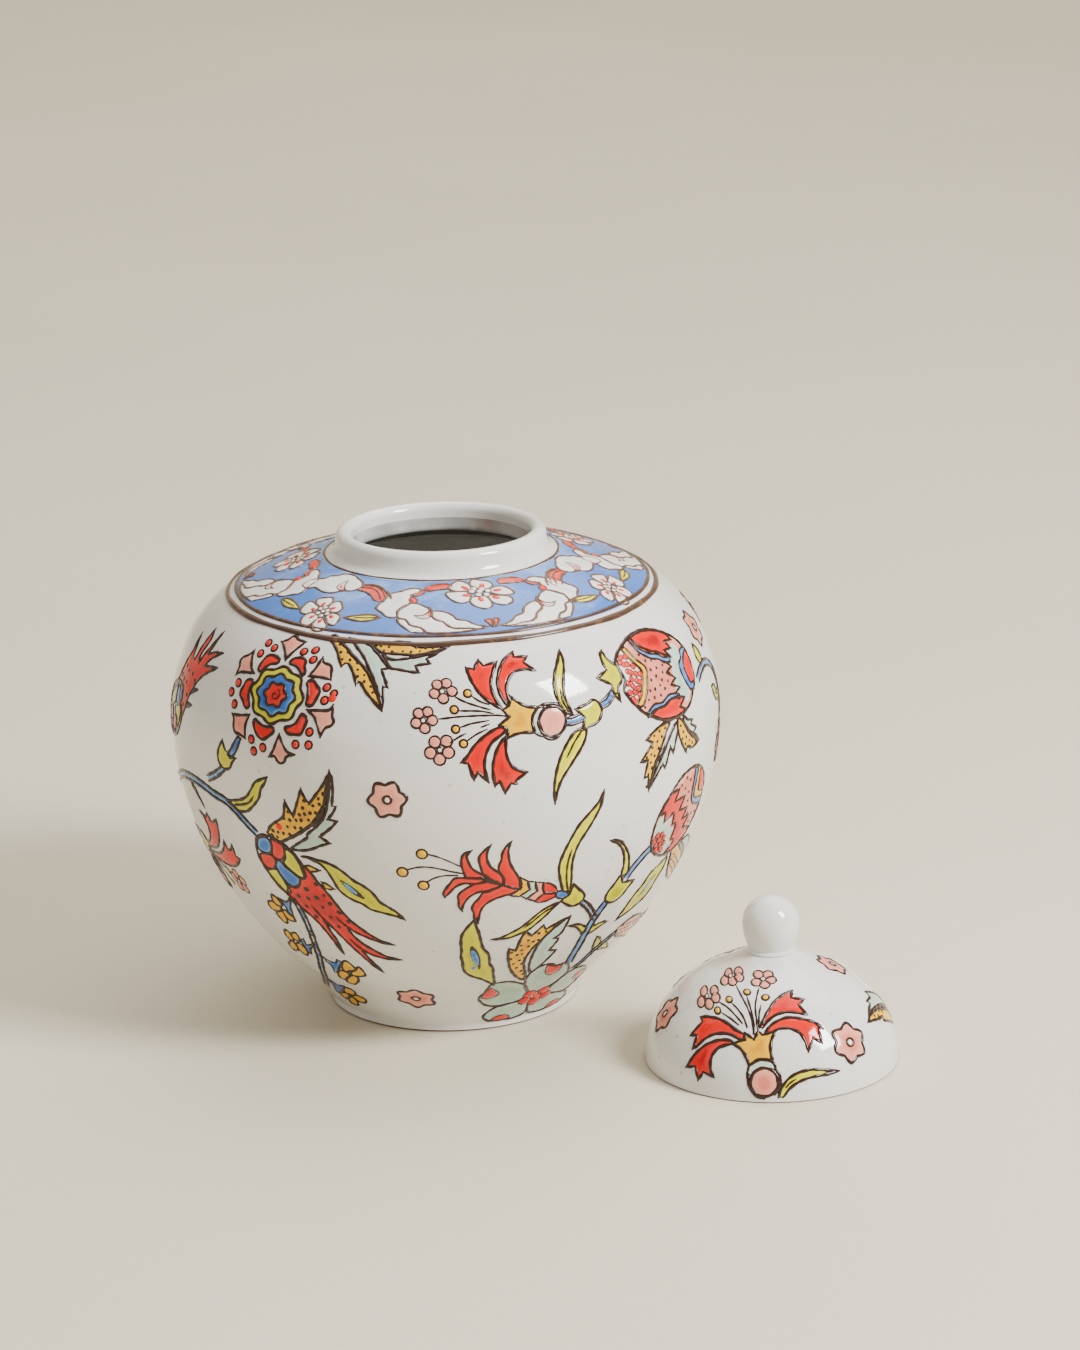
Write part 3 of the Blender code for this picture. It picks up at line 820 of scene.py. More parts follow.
def bud(c, grape, wing):
    c.shape("red", [(-0.8, -9.3, 1), (0.4, -5), (4, -4), (7, -2.5), (8.5, 0.5), (11, 1.6), (11.3, 8, 1),
                    (14, 5), (16, 1), (18, -2.5), (19.8, -6), (21.3, -10), (22.8, -14), (25, -18.5),
                    *c.borrow(grape, [(13, 30), (16, 26.5), (19.5, 23), (22, 21.3), (25.6, 19.8, 1),
                                      (22, 20.3), (18.5, 21.7), (15, 23.5), (11, 26), (8.8, 28.6, 1), (9, 26),
                                      (10.5, 22), (13, 18.5), (16.5, 15), (20, 12), (25.3, 10.3, 1),
                                      (20, 10.2), (17, 11), (13, 13), (10.7, 15.7, 1), (11.7, 10), (13, 6),
                                      (14.5, 0.3, 1), (12, 4.5), (10.5, 8), (8, 13.5), (5, 20), (2, 26),
                                      (-1, 31, 1), (0, 24), (1, 19), (1, 10, 1), (0, 14), (-0.7, 18),
                                      (-2.5, 24), (-5, 29)]), (3, -14.6)], 1.0)
    c.dots(((15.2, -0.8), (9.7, -4.3, 1.1), (17.2, -6), (4.5, -8.8), (9, -9), (13.3, -7.8, 1.3), (18.5, -10),
            (14.5, -12.5), (6.5, -13.7), (21, -14.2), (16.3, -17.3), (9.2, -18.5), (23.5, -18.6),
            (18, -22.3)), 0.95)
    for line in ([(9, -12.5), (11, -16.5), (12.4, -19.4)], [(18.5, -16.5), (20, -19), (21.4, -21.4)],
                 c.borrow(grape, [(7.5, 21.5), (9, 18.5), (10.6, 15.8)])):
        c.stroke(line, 0.8, base=0.2, taper=(0.3, 1))
    c.patch("cream", [(-3, 17.8), (0, 17.5), (3.5, 16), (6.3, 14.2), (9.1, 11.4), (10.8, 8.1), (11, 2),
                      (8, -0.5), (7, -3.4), (3.5, -5.4), (0.8, -6), (-1.4, -8.8), (-4.5, -5.8), (-7, -1.9),
                      (-9.2, 2.8), (-10.5, 7), (-10.5, 11), (-9.5, 15), (-7, 17.3)], rise=0.08)
    for colour, scale in (("blue", [(-8, 16), (-4, 17.2), (-2.2, 15.5), (-2.5, 12), (-4, 10), (-8, 9.7),
                                    (-9.8, 11), (-9.5, 14)]),
                          ("red", [(-1.3, 17), (1.5, 16.3), (4, 15), (4, 11.5), (2, 8.5), (-0.5, 8),
                                   (-2.6, 9.5), (-1.8, 13.5)]),
                          ("red", [(-9.7, 8), (-6, 9.2), (-3, 9), (-1.8, 7.3), (-3, 4), (-5, 2.2), (-8, 2.5),
                                   (-9.8, 5)]),
                          ("lime", [(4.5, 13), (6, 13.8), (8.5, 11.5), (10, 8), (10.8, 3), (10, 1), (7, 2.5),
                                    (4, 5), (2.3, 7.3), (4, 9.5)]),
                          ("blue", [(0, 7.7), (-2.3, 4.8), (-1.5, 1), (0.5, -2.5), (3.5, -4.8), (6, -4),
                                    (8, 0.5), (5.5, 2.7), (2.5, 5)]),
                          ("lime", [(-7.8, 1), (-3, 2.5), (-1.5, 0), (0, -4), (1.2, -7.5), (-1.5, -8),
                                    (-4.5, -5), (-6.5, -2)])):
        c.inlay(colour, scale, 0.75, 0.08, 0.14)
    c.stroke([(0.5, 17.7), (-3, 18), (-7, 17.4), (-9.9, 15), (-10.9, 11), (-10.9, 7), (-9.5, 2.8), (-7.2, -2),
              (-4.7, -6), (-1.5, -9.2), (-0.2, -10.4)], 1.0, base=0.06)
    c.stroke([(-1, 18.2), (3.5, 16.3), (6.5, 14.4), (9.3, 11.6), (11.1, 8.1), (11.4, 2)], 1.0, base=0.06)
    for dart in ([(12.8, 7.6, 1), (15, 7.8), (17, 7), (19, 6.3, 1), (16.5, 5.4), (14, 5.1, 1)],
                 [(18, 0.7, 1), (20, 0.2), (23, -2, 1), (20.8, -2.5), (19, -2.3, 1)]):
        c.shape("yellow", dart, 0.8)
    jaggedLeaf(c, c.borrow(wing, [(-21.5, -22.5, 1), (-19, -19), (-15, -16), (-12, -13.5), (-10.7, -6.7, 1),
                                  (-9.5, -9.5), (-7.3, -13, 1), (-5, -7), (-2.8, -0.8, 1), (-1.8, -3.5),
                                  (0.5, -6.5, 1), (4, -2), (7, 2), (9.6, 6.6, 1), (8.5, 2), (7.5, -3),
                                  (6.5, -7), (4, -10.5), (2, -13.5), (-2, -17), (-7, -20.5), (-12, -23.5),
                                  (-16, -25.4)]),
               [*c.borrow(wing, [(9.8, 8, 1), (11, 4), (11, -1), (10.3, -6, 1), (12, -6.3, 1), (10.5, -9),
                                 (8, -12, 1), (12, -12.3, 1), (9, -15.5), (6, -18), (3.5, -20, 1),
                                 (7.8, -22.3, 1)]),
                (22, 18), (18, 16), (13, 14.5), (7.4, 14.2, 1), (12, 17.5), (17, 21),
                *c.borrow(wing, [(-2, -20), (2.5, -16), (6, -12), (7.9, -8), (9, -3), (9.6, 2)])],
               c.borrow(wing, [(9.7, 7.5), (8.8, 2), (7.6, -4), (5.6, -9), (2.2, -13.6), (-2, -17.4),
                               (-7, -20.8), (-12, -23.8), (-16.5, -25.6)]),
               c.borrow(wing, [(-1.7, -5.5), (-2.5, -8.5), (4.8, -3.8), (7, -1.7), (5, -6), (2.2, -7),
                               (0.7, -10.2), (3, -9.7), (-1.8, -11), (-4.2, -11.6), (-9.5, -11.3),
                               (-3.7, -13.8), (-0.3, -13.2), (-6, -14.2), (-9, -14.6), (-11.7, -14.4),
                               (-4.3, -17.3), (-7, -17.5), (-10.5, -17.7), (-18.2, -20.9), (-15.6, -21),
                               (-13, -21), (-10, -21), (-16.4, -23.3), (-19, -23)]),
               0.75)
    c.bead("red", *c.borrow(wing, [(-14.7, -18.5)])[0], 1.6, high=0.3, base=0.2)
    c.stroke(c.borrow(wing, [(7.2, -5.4), (5.2, -10), (2.4, -14), (-0.6, -16.4)]), 1.7, taper=(0.2, 0.2))
    c.shape("lime", [(0.4, 43.3, 1), (-2.5, 42), (-6, 40), (-9, 36), (-11, 33.5), (-14, 31.5), (-19, 29.8),
                     (-24.5, 28.5, 1), (-20.5, 27), (-17, 25.8), (-12, 26.8), (-8, 30), (-4.5, 34), (-3, 38),
                     (-1, 40.5)])
    ribs(c, [(-19, 28), (-14, 29.2), (-10, 31), (-7, 34.4)], 0.8)


def eyeLeaf(c, rim, eye, iris):
    c.shape("lime", rim, 1.0)
    c.patch("ink", eye, base=0.24, rise=0.14)
    c.patch("blue", iris, base=0.36)


def stamens(c):
    for x, y, r in ((14, 13.4, 1.75), (5.8, 5, 1.8), (13.3, -1.2, 1.75)):
        bead(c, x, y, r, "yellow", 0.5)
    for line in ([(16, 13.3), (20, 12), (24, 10), (28.5, 7.3)], [(7.8, 6.2), (12, 7.3), (16, 7.4), (21, 6.3),
                 (25, 5), (29, 4)], [(15, 0.5), (18, 2.3), (22, 3.3), (27, 3.2)]):
        c.stroke(line, 0.55)


def featherFlower(c, mid):
    for plume in ([(-23.2, 18.3, 1), (-25.7, 17.3), (-26.8, 15), (-26.6, 11.5), (-25.4, 8), (-24.5, 6.3),
                   (-20, 5.3), (-15.3, 3.8, 1), (-16.5, 5.7), (-19.5, 7.7), (-22.5, 10.2), (-24.2, 13.5),
                   (-24.8, 16)],
                  [(-15.7, 20.3, 1), (-18, 18.2), (-20, 15.5), (-20, 13), (-19.2, 10.5), (-18.3, 7.7),
                   (-16.5, 6), (-15, 4.5), (-12.5, 3), (-10.5, 1.5, 1), (-9.5, 3.5), (-11, 6), (-13, 8),
                   (-15.5, 10.5), (-17, 14), (-17, 17.5)],
                  [(-7.8, 21, 1), (-9.8, 19), (-11.2, 16), (-11.4, 13), (-12.2, 10.5), (-12, 8), (-10.5, 5.5),
                   (-9.8, 2.5), (-9, 0.5), (-5, -1), (-3, -1.8, 1), (-3.3, 1.5), (-4.3, 4.5), (-6, 7.5),
                   (-7.8, 11), (-8.7, 15), (-8.7, 18.5)],
                  [(-32, -3.2, 1), (-32.8, -1.3), (-32, 1), (-30.5, 3.5), (-29, 5.8), (-26, 6), (-22, 5.5),
                   (-18, 5.3), (-15.3, 4, 1), (-18, 3), (-21.5, 2.7), (-25, 3.3), (-28, 2), (-30, -0.5),
                   (-31, -2)],
                  [(-24.7, -10.7, 1), (-26.3, -8), (-26.5, -5.5), (-27, -3), (-25.8, -0.7), (-23.5, 1.2),
                   (-20.5, 2.8), (-17, 3.5), (-13.5, 2.5), (-11, 1.3, 1), (-12.5, 0.2), (-16, -1),
                   (-19.5, -1.5), (-22.5, -3.5), (-24, -6), (-24.7, -8.5)],
                  [(-17.8, -17.5, 1), (-19.5, -15.5), (-20, -12.5), (-21, -9.5), (-20.5, -7), (-19, -5),
                   (-17.5, -2), (-15, -1.5), (-12, 0), (-9.5, 1), (-6, -1), (-3, -2, 1), (-6, -3.5),
                   (-10, -4.5), (-14, -6.2), (-16.7, -9), (-17.7, -12.5)]):
        c.shape("red", plume, 0.8)
    for colour, chevron in (
            ("yellow", [(-3.3, 4, 1), (-0.3, 1.7, 1), (0.2, -0.5), (1, -2.8, 1), (-1, -4), (-3, -5.5, 1),
                        (-7.3, -4.3, 1), (-4.5, -3), (-2.4, -1.3, 1), (-2.8, 1.5)]),
            ("pale", [(-0.1, 1.7, 1), (3, 0.7, 1), (3.2, -1.5), (4.2, -4, 1), (2, -5.5), (0, -7, 1),
                      (-2.5, -5.3, 1), (-0.5, -3.8), (1.1, -2.6, 1), (0.6, -0.5)]),
            ("pink", [(3.2, 0.7, 1), (6.3, -0.2, 1), (6.3, -3), (7.2, -5.7, 1), (5.5, -7), (3.7, -9, 1),
                      (0.5, -7.3, 1), (2.5, -5.3), (4.4, -3.8, 1), (3.7, -1.5)]),
            ("red", [(6.5, -0.2, 1), (9, -1), (11.5, -3), (12.7, -5, 1), (12.5, -6.3, 1), (10, -6),
                     (7.4, -5.5, 1), (6.6, -3)]),
            ("red", [(7.2, -6, 1), (9.5, -6.3), (12.2, -6.8, 1), (12, -8.3), (9, -9.7), (5.5, -10),
                     (3.9, -9.2, 1), (5.5, -7.2)]),
            ("blue", [(13, -6), (15, -6), (17.5, -7.5), (18.3, -8.9, 1), (16.5, -9.8), (14, -9.7),
                      (12.5, -8)])):
        c.shape(colour, chevron, 0.72)
    c.shape("lime", [(15.5, -6.3, 1), (14, -2),
                     *c.borrow(mid, [(-20.3, -20), (-19.5, -14), (-17, -7.5), (-14, -2), (-10, 2),
                                     (-5.5, 6.3), (-3.5, 10.2, 1), (-4.5, 5), (-7, 0), (-10, -5), (-13, -10),
                                     (-14.5, -15),
                     (-14.7, -20)]), (18.5, -2), (18.7, -7, 1)])
    ribs(c, [(17.4, -6), (16.6, -3), (15.9, 2), (16, 8), (17.3, 14)])
    c.shape("lime", [(19.8, -3.7, 1), (22.5, -7), (24.5, -9), (25.7, -11.5), (25, -13.5), (23, -15),
                     (20, -15.2), (17.5, -13.5), (15, -11.3, 1), (16.5, -10), (18.5, -8.5), (19.2, -6)])
    c.shape("lime", [(-11.3, -27.8, 1), (-8, -27.3), (-4, -25), (0, -22.3), (4, -18), (7, -15), (11, -12.7),
                     (15.4, -11.4, 1), (13, -13.5), (10, -17), (6.5, -21), (3, -24.5), (0, -26), (-4, -27.7),
                     (-8, -28.2)], 0.9)
    ribs(c, [(14, -12.4), (8, -16), (4.5, -19.5), (1, -23)])
    c.stem([(24.8, -14.2), (27.5, -17), (30, -20.5), (32.5, -24.8), (34, -27)], 1.5, 3.0)


def mainStem(c, mid):
    c.stem([(11.3, 21.3), (13, 24.5), (16, 28), (20, 31.4), (24.5, 33.8), (28, 35.2)], 2.4, 3.9)
    c.shape("lime", [*c.borrow(mid, [(1.8, -12.5, 1), (4, -13), (7.5, -14.5), (10.5, -18), (13, -22),
                                     (14.5, -27)]),
                     (11.6, 24.4, 1), (8.6, 23.6, 1), *c.borrow(mid, [(11.5, -30), (11.5, -26), (10, -20.5),
                     (7.5, -16.5), (4.5, -14)])])
    for leaf in ([(-11.2, 3.3, 1), (-8, 3.3), (-5, 2.2), (-2, 0.2), (-0.6, -1, 1), (-1.2, -5, 1), (-4, -1.5),
                  (-7, 1.5), (-9.5, 2.8)], [(10.2, -1.3, 1), (8, -0.3), (5, -0.5), (1.6, -1.3, 1),
                                            (1.2, -6, 1), (3, -5), (6, -3), (8.5, -1.7)]):
        c.shape("lime", leaf, 0.9)
    c.stem([(0.6, -24.4), (-0.2, -20), (-0.2, -14), (-0.2, -8), (0, -3), (0.8, 3), (2.5, 8), (4.7, 12.6)],
           2.5, 4.1)
    c.shape("lime", [(8, 25, 1), (10.4, 19.8, 1), (13, 19.6), (17.2, 19, 1), (14.5, 15.5), (12.5, 12.5),
                     (10, 11), (7, 10.5), (4.5, 11.8), (3, 14.5), (3.5, 17.5), (5.5, 20.5)], 1.0)
    c.stem([(6, -31), (9, -26), (11.5, -21), (15, -17), (18.5, -14), (21.7, -11.8)], 1.8, 3.4)
    c.shape("lime", [(8.4, -9.6, 1), (11, -11.5), (13.3, -15), (12.6, -17.2, 1), (10.2, -18.6, 1), (9, -14)],
            0.9)
    c.shape("lime", [(23.8, -24.2, 1), (20.5, -20), (17.5, -17), (15.2, -18.4, 1), (13.7, -21, 1),
                     (18, -21.8)], 0.9)


def pinkTail(c):
    c.shape("pink", [(-22.7, -4, 1), (-19, -1.5), (-14, -0.7), (-8, -2.2), (-2, -5), (3, -7.5), (9, -9),
                     (14, -8), (20, -4, 1), (17, -9), (14, -12.5, 1), (19, -12, 1), (14, -16), (8, -19, 1),
                     (10, -22, 1), (4, -20.5), (-2, -17.4), (-8, -14.6), (-14, -12.4), (-18, -10.4),
                     (-21, -7.4)], 1.0)
    c.dots([(-19.6 + 3.2 * k + 0.9 * j, -3.4 - 0.55 * k - 2.7 * j) for k in range(11) for j in range(3)
            if (k + j) % 4 or j != 1], 0.62)


def bottomFlower(c):
    for petal, tip in (
            ([(7.3, -10), (5, -5.5), (3.8, -1), (3.2, 3), (4, 7.5), (6.5, 10.5), (10, 11.8), (12.5, 11),
              (15, 9), (18.5, 9.3), (20.5, 8.5), (22.5, 5), (23.8, 0), (22, -4.5), (19.5, -8.5), (15, -12),
              (10, -12)],
             [(10.5, 11), (12, 10.3), (14.5, 8.6), (18, 8.7), (18.3, 7), (17, 3.5), (14.5, 2), (12, 3.5),
              (10.5, 7)]),
            ([(-11, 2), (-8, 3), (-4, 2.8), (0, 0.5), (4, -3), (7, -9), (8, -14), (5, -17), (0, -18),
              (-5, -18.2), (-9, -16.5), (-12, -13), (-13.2, -9.5), (-12, -5), (-11.7, -1)],
             [(-11, -1), (-8.5, -3), (-6, -6.5), (-6.3, -9.5), (-8.5, -11), (-12, -10), (-12.4, -7.5),
              (-11.5, -4)]),
            ([(0, -18.3), (-4, -19.4), (-7, -22.4), (-8, -25.6), (-5.5, -28.6), (0, -29.4), (6, -29.4),
              (10, -27.6), (10.8, -23), (9.6, -19), (5, -17.4)],
             [(-4, -28.4), (-3.6, -26.6), (-0.6, -25.6), (2.4, -26.4), (3.4, -28.4), (0, -29.2)]),
            ([(11, -19.4), (11, -24), (12.2, -28), (17, -29.4), (24, -29.4), (31, -28.4), (33.6, -25),
              (31, -21.6), (26, -19.6), (20, -17.4), (15, -16.6)],
             [(21.6, -28.6), (22.6, -26.6), (26, -25.6), (29.6, -26.6), (30.6, -28), (26, -29)]),
            ([(18, -14), (21, -8), (24, -2.4), (28, 0), (33, -1), (37, -5), (38, -11), (35.6, -17),
              (30, -20.4), (24, -19), (19, -17.4)],
             [(34, -4.4), (31.6, -6.6), (31, -10), (33, -13), (36.6, -13.4), (37.2, -9)])):
        c.shape("pale", petal, 0.95)
        c.patch("red", tip, base=0.12, rise=0.4)
        c.outline(tip, 0.6, base=0.12)
    for x, y in ((9, -13), (15.8, -12.5), (8, -17.8), (18, -17.3), (13, -20)):
        c.bead("red", x, y, 2.75, high=0.7, base=0.12)
        c.outline(around(x, y, 2.7, 10), 0.55, base=0.12)
    c.bead("ember", 13.3, -16.2, 1.8, high=0.8, base=0.2)


def bottomLeaves(c):
    eyeLeaf(c, [(-25.5, 47, 1), (-28, 43), (-29.8, 38), (-29.4, 33), (-28.3, 28), (-28, 25), (-26.5, 20.5),
                (-25.5, 16.5), (-24, 13.5), (-21, 10.5), (-17, 8), (-13.5, 5), (-11, 2.3), (-9.6, 0.8, 1),
                (-11, 6), (-12.5, 11), (-13.5, 15), (-15.5, 18.5), (-16.3, 22), (-17.5, 25.5), (-20, 29),
                (-21.8, 34), (-23.5, 39), (-25.3, 43.5)],
            [(-25.9, 33, 1), (-24.9, 27), (-23.3, 22.5), (-20.7, 18), (-18, 12.8, 1), (-18.8, 18),
             (-20.3, 24), (-23, 29.4)],
            [(-24.5, 28.6), (-23.2, 28), (-20.9, 23.5), (-20, 18.6), (-20.7, 18.4), (-22.7, 22),
             (-24.1, 25.5)])
    c.bead("blue", -21.4, 16.6, 0.8, 1.2, high=0.3, base=0.2)
    jaggedLeaf(c, [(-4.3, 36.8, 1), (-1.3, 33.5, 1), (2.7, 38.9, 1), (4.2, 36, 1), (8, 38.5), (13.5, 40.9, 1),
                   (10, 38), (7.5, 35.5), (5, 32.5), (3, 29), (1, 26), (-0.5, 22), (-1.2, 17), (-0.3, 13),
                   (1, 9), (3, 1.6, 1), (0, 4), (-2.5, 7), (-5, 11), (-6.8, 15), (-8, 19), (-8.8, 22),
                   (-9.5, 27.4, 1), (-6.3, 25.3, 1), (-6, 29), (-5.5, 33)],
               [(14.2, 41, 1), (13, 36), (11.5, 31.5), (8.8, 29.4, 1), (11.3, 28.7, 1), (10.2, 25.5),
                (8.3, 22, 1), (11.9, 21, 1), (9.5, 16.5), (7, 12), (4.5, 8.7), (3.5, 7.3, 1), (2, 12),
                (1.5, 17), (1.7, 22), (2.7, 27), (4.5, 31.5), (7.5, 36), (11, 39.3)],
               [(13.6, 40.8), (10, 38), (7, 34.8), (4.4, 31.2), (2, 28), (0, 24), (-1, 19), (-0.9, 15)],
               ((-2.3, 31.2), (0, 30), (-4.7, 28.5), (-1.5, 27.3), (-4, 25.5), (2, 30.5), (-5.3, 22.8),
                (-3.2, 22.8), (-7.3, 20.2), (-3.5, 18.7), (-5.5, 16.7), (-3.6, 13.5), (-1.7, 20), (-2, 15.8),
                (-1, 10.5), (-7.8, 24.6), (1.5, 34.5), (-2.6, 34.6), (4.5, 34.8), (7.6, 37.4), (0.4, 8)),
               0.62)


def grapes(c, budChart):
    c.stem([*c.borrow(budChart, [(0.6, -10.5), (1.8, -15), (2.3, -20), (2.2, -25), (1.5, -30)]), (-10.8, 20),
            (-11.3, 17), (-12.5, 10), (-13.5, 5), (-15.5, -1), (-18, -7), (-20.5, -13), (-24, -19),
            (-28, -25), (-33, -31)], 1.5, 3.0)
    budChart.shape("blue", [(-0.7, -10.4, 1), (-2.6, -13), (-4.5, -14.2), (-7.8, -13, 1), (-5.8, -17.6),
                            (-5.6, -20.4), (-3.6, -21.7, 1), (-3.2, -18), (-2.3, -15), (-0.2, -11.4, 1)], 0.8)
    for petal in ([(-11.5, -12.5), (-9.5, -13), (-7.5, -16), (-8.5, -17.8), (-11.5, -17.5), (-12.3, -15)],
                  [(-16, -17.5), (-13, -16.5), (-9, -18.3), (-9.5, -20), (-12.5, -21.8), (-16, -21),
                   (-16.5, -19)],
                  [(-13.5, -22.5), (-9.5, -21), (-8.7, -23.5), (-9.5, -27), (-11, -28), (-12.8, -26)],
                  [(-8.7, -20), (-7, -19.5), (-5.5, -21.5), (-4, -22.5), (-4.2, -24.7), (-7, -25.2),
                   (-8.8, -23)]):
        budChart.shape("yellow", petal, 0.9, rise=0.4)
    for calyx in ([(-12.2, 13.6, 1), (-14.4, 11.6), (-17.6, 10.4), (-17.4, 14.2, 1), (-19.7, 12.6),
                   (-19.3, 9), (-19.6, 5), (-18, 3.8, 1), (-16.4, 8), (-12.4, 12, 1)],
                  [(-11.4, 4.6, 1), (-9.6, 2.4), (-6.5, 1.8), (-4.5, 4.6, 1), (-2.7, 3.5), (-5, 0), (-7, -3),
                   (-9.5, -6.6), (-10.9, -6.6, 1), (-9.9, -2), (-11.8, 3, 1)],
                  [(-20.4, -18, 1), (-17.5, -21.5), (-13.3, -20.3, 1), (-16, -24), (-19, -28), (-23, -31),
                   (-24.6, -29.8, 1), (-22, -24), (-21.6, -19.4, 1)]):
        c.shape("blue", calyx, 0.8)
    for petal in ([(-28.5, 13), (-27.5, 16), (-25.5, 17), (-24.2, 14), (-25, 10.5), (-27.5, 10.5)],
                  [(-24.5, 14), (-23, 16), (-20.5, 17), (-19.8, 14), (-21, 11.5), (-23, 11.5)],
                  [(-28.3, 8.5), (-25.8, 9.5), (-25.3, 6), (-26.5, 3), (-29.5, 2), (-31, 5)],
                  [(-24.7, 8), (-22, 10), (-19.8, 7.5), (-20, 4), (-22, 1.3), (-24.5, 3)],
                  [(-2.3, 3.5), (0, 5), (1.8, 2), (1.8, -0.8), (-1, -2.2), (-3.8, -3.8), (-4.5, -1.5)],
                  [(2.8, 0.5), (4.5, 2), (5.3, -1), (5, -4), (2, -5.5), (-1.5, -6), (-1.5, -3.5),
                   (1.5, -1.5)],
                  [(-7, -4), (-4, -4), (-3, -6), (-5.5, -9), (-8.5, -12), (-10, -10.5), (-9.5, -7.5)],
                  [(-3, -7), (-0.5, -6), (0, -8.5), (-2.5, -12.5), (-5, -14.8), (-8, -14), (-6.5, -10.5)],
                  [(-14, -22), (-11, -21.5), (-9.5, -24), (-11, -27), (-14, -28), (-17, -27)],
                  [(-13.5, -29), (-9.5, -27), (-6.5, -28.5), (-7, -31), (-9.5, -32.5), (-12, -31.5)],
                  [(-22, -31), (-17, -28), (-15.5, -29.5), (-18, -32.5), (-20, -34)],
                  [(-16, -31), (-13.6, -30), (-12.6, -33), (-14, -36), (-17.6, -36), (-18, -33.4)]):
        c.shape("yellow", petal, 0.9, rise=0.4)


def blossom(c, r, turn):
    c.shape("pink", around(0, 0, r, 24, lobes=6, depth=0.13, turn=turn), 0.95)
    c.outline(around(0, 0, r * 0.23, 9), 0.7, base=0.24)
    c.bead("cream", 0, 0, r * 0.15, high=0.2, base=0.24)


def spottedPair(c):
    jaggedLeaf(c, [(-24.7, 16.3, 1), (-23, 18.3), (-21.5, 18), (-21.5, 16.5), (-17, 13.5), (-13, 9.5),
                   (-9.5, 6.5), (-6, 3), (-3.5, -1), (-1.5, -5), (0.3, -8), (1.2, -11.7, 1), (-2, -8.5),
                   (-5.5, -5), (-8, -1.5), (-8.8, -1, 1), (-9.9, -2.5, 1), (-10.5, 0), (-12, 3), (-14, 6),
                   (-15.5, 6.2, 1), (-17, 4.6, 1), (-18.5, 8), (-20.5, 12), (-22.5, 14.5)],
               [(-16, 17.9, 1), (-11, 16.5), (-7, 15), (-5, 13), (-2, 10), (0.5, 7), (2.6, 5, 1),
                (-0.8, 4.7, 1), (1, 1), (2, -1), (2.9, -2.8, 1), (0.8, -2.5, 1), (1.3, -6), (1.4, -9),
                (1.3, -11.4, 1), (-0.6, -5), (-3, 0), (-5.5, 4.5), (-8.5, 9.5), (-12, 13.7)],
               [(-21.4, 17), (-17, 13.8), (-13, 9.9), (-9.5, 6.8), (-6, 3.2), (-3.2, -1), (-1.2, -5),
                (1, -10.5)],
               ((-19.3, 14), (-15.3, 11), (-17, 7.7), (-13.8, 7.7), (-10.6, 6.5), (-10, 3.8), (-9.7, 1),
                (-7, 1.8), (-6.6, -0.8), (-3.8, -2.7), (-2.8, -5), (-18.2, 10.7)), 0.55)
    jaggedLeaf(c, [(-5.2, 14.5, 1), (-2.5, 16.5), (1, 17), (5, 17.3), (9.5, 17, 1), (9.5, 15.2, 1),
                   (14, 14.8), (18, 15), (23.3, 14.8, 1), (20, 13.3), (16, 12.2), (12, 11.3), (8, 11.3),
                   (3, 11.6), (-1, 11.8), (-3.5, 13)],
               [(-1.5, 11.3, 1), (0.5, 8.5), (2.7, 5.4), (6, 4.8), (10, 4), (13.9, 3.5, 1), (12, 6.5, 1),
                (14.5, 7), (17.6, 7.3, 1), (15.8, 9.5, 1), (18, 11), (20.5, 13), (22.8, 14.2, 1), (18, 12.1),
                (12, 10.2), (7, 9.3), (3, 8.9), (0.4, 10)],
               [(23, 14.6), (18, 12.6), (13, 11.1), (9, 10.6)],
               ((-2.6, 14.8), (0.6, 14.6), (-1, 13), (2.2, 12.6), (1.8, 16.4), (6.3, 12.8), (9.5, 12.6),
                (12.8, 13), (11, 14.6), (14.8, 14.2), (17.5, 14.2), (5.7, 15.6)), 0.5)


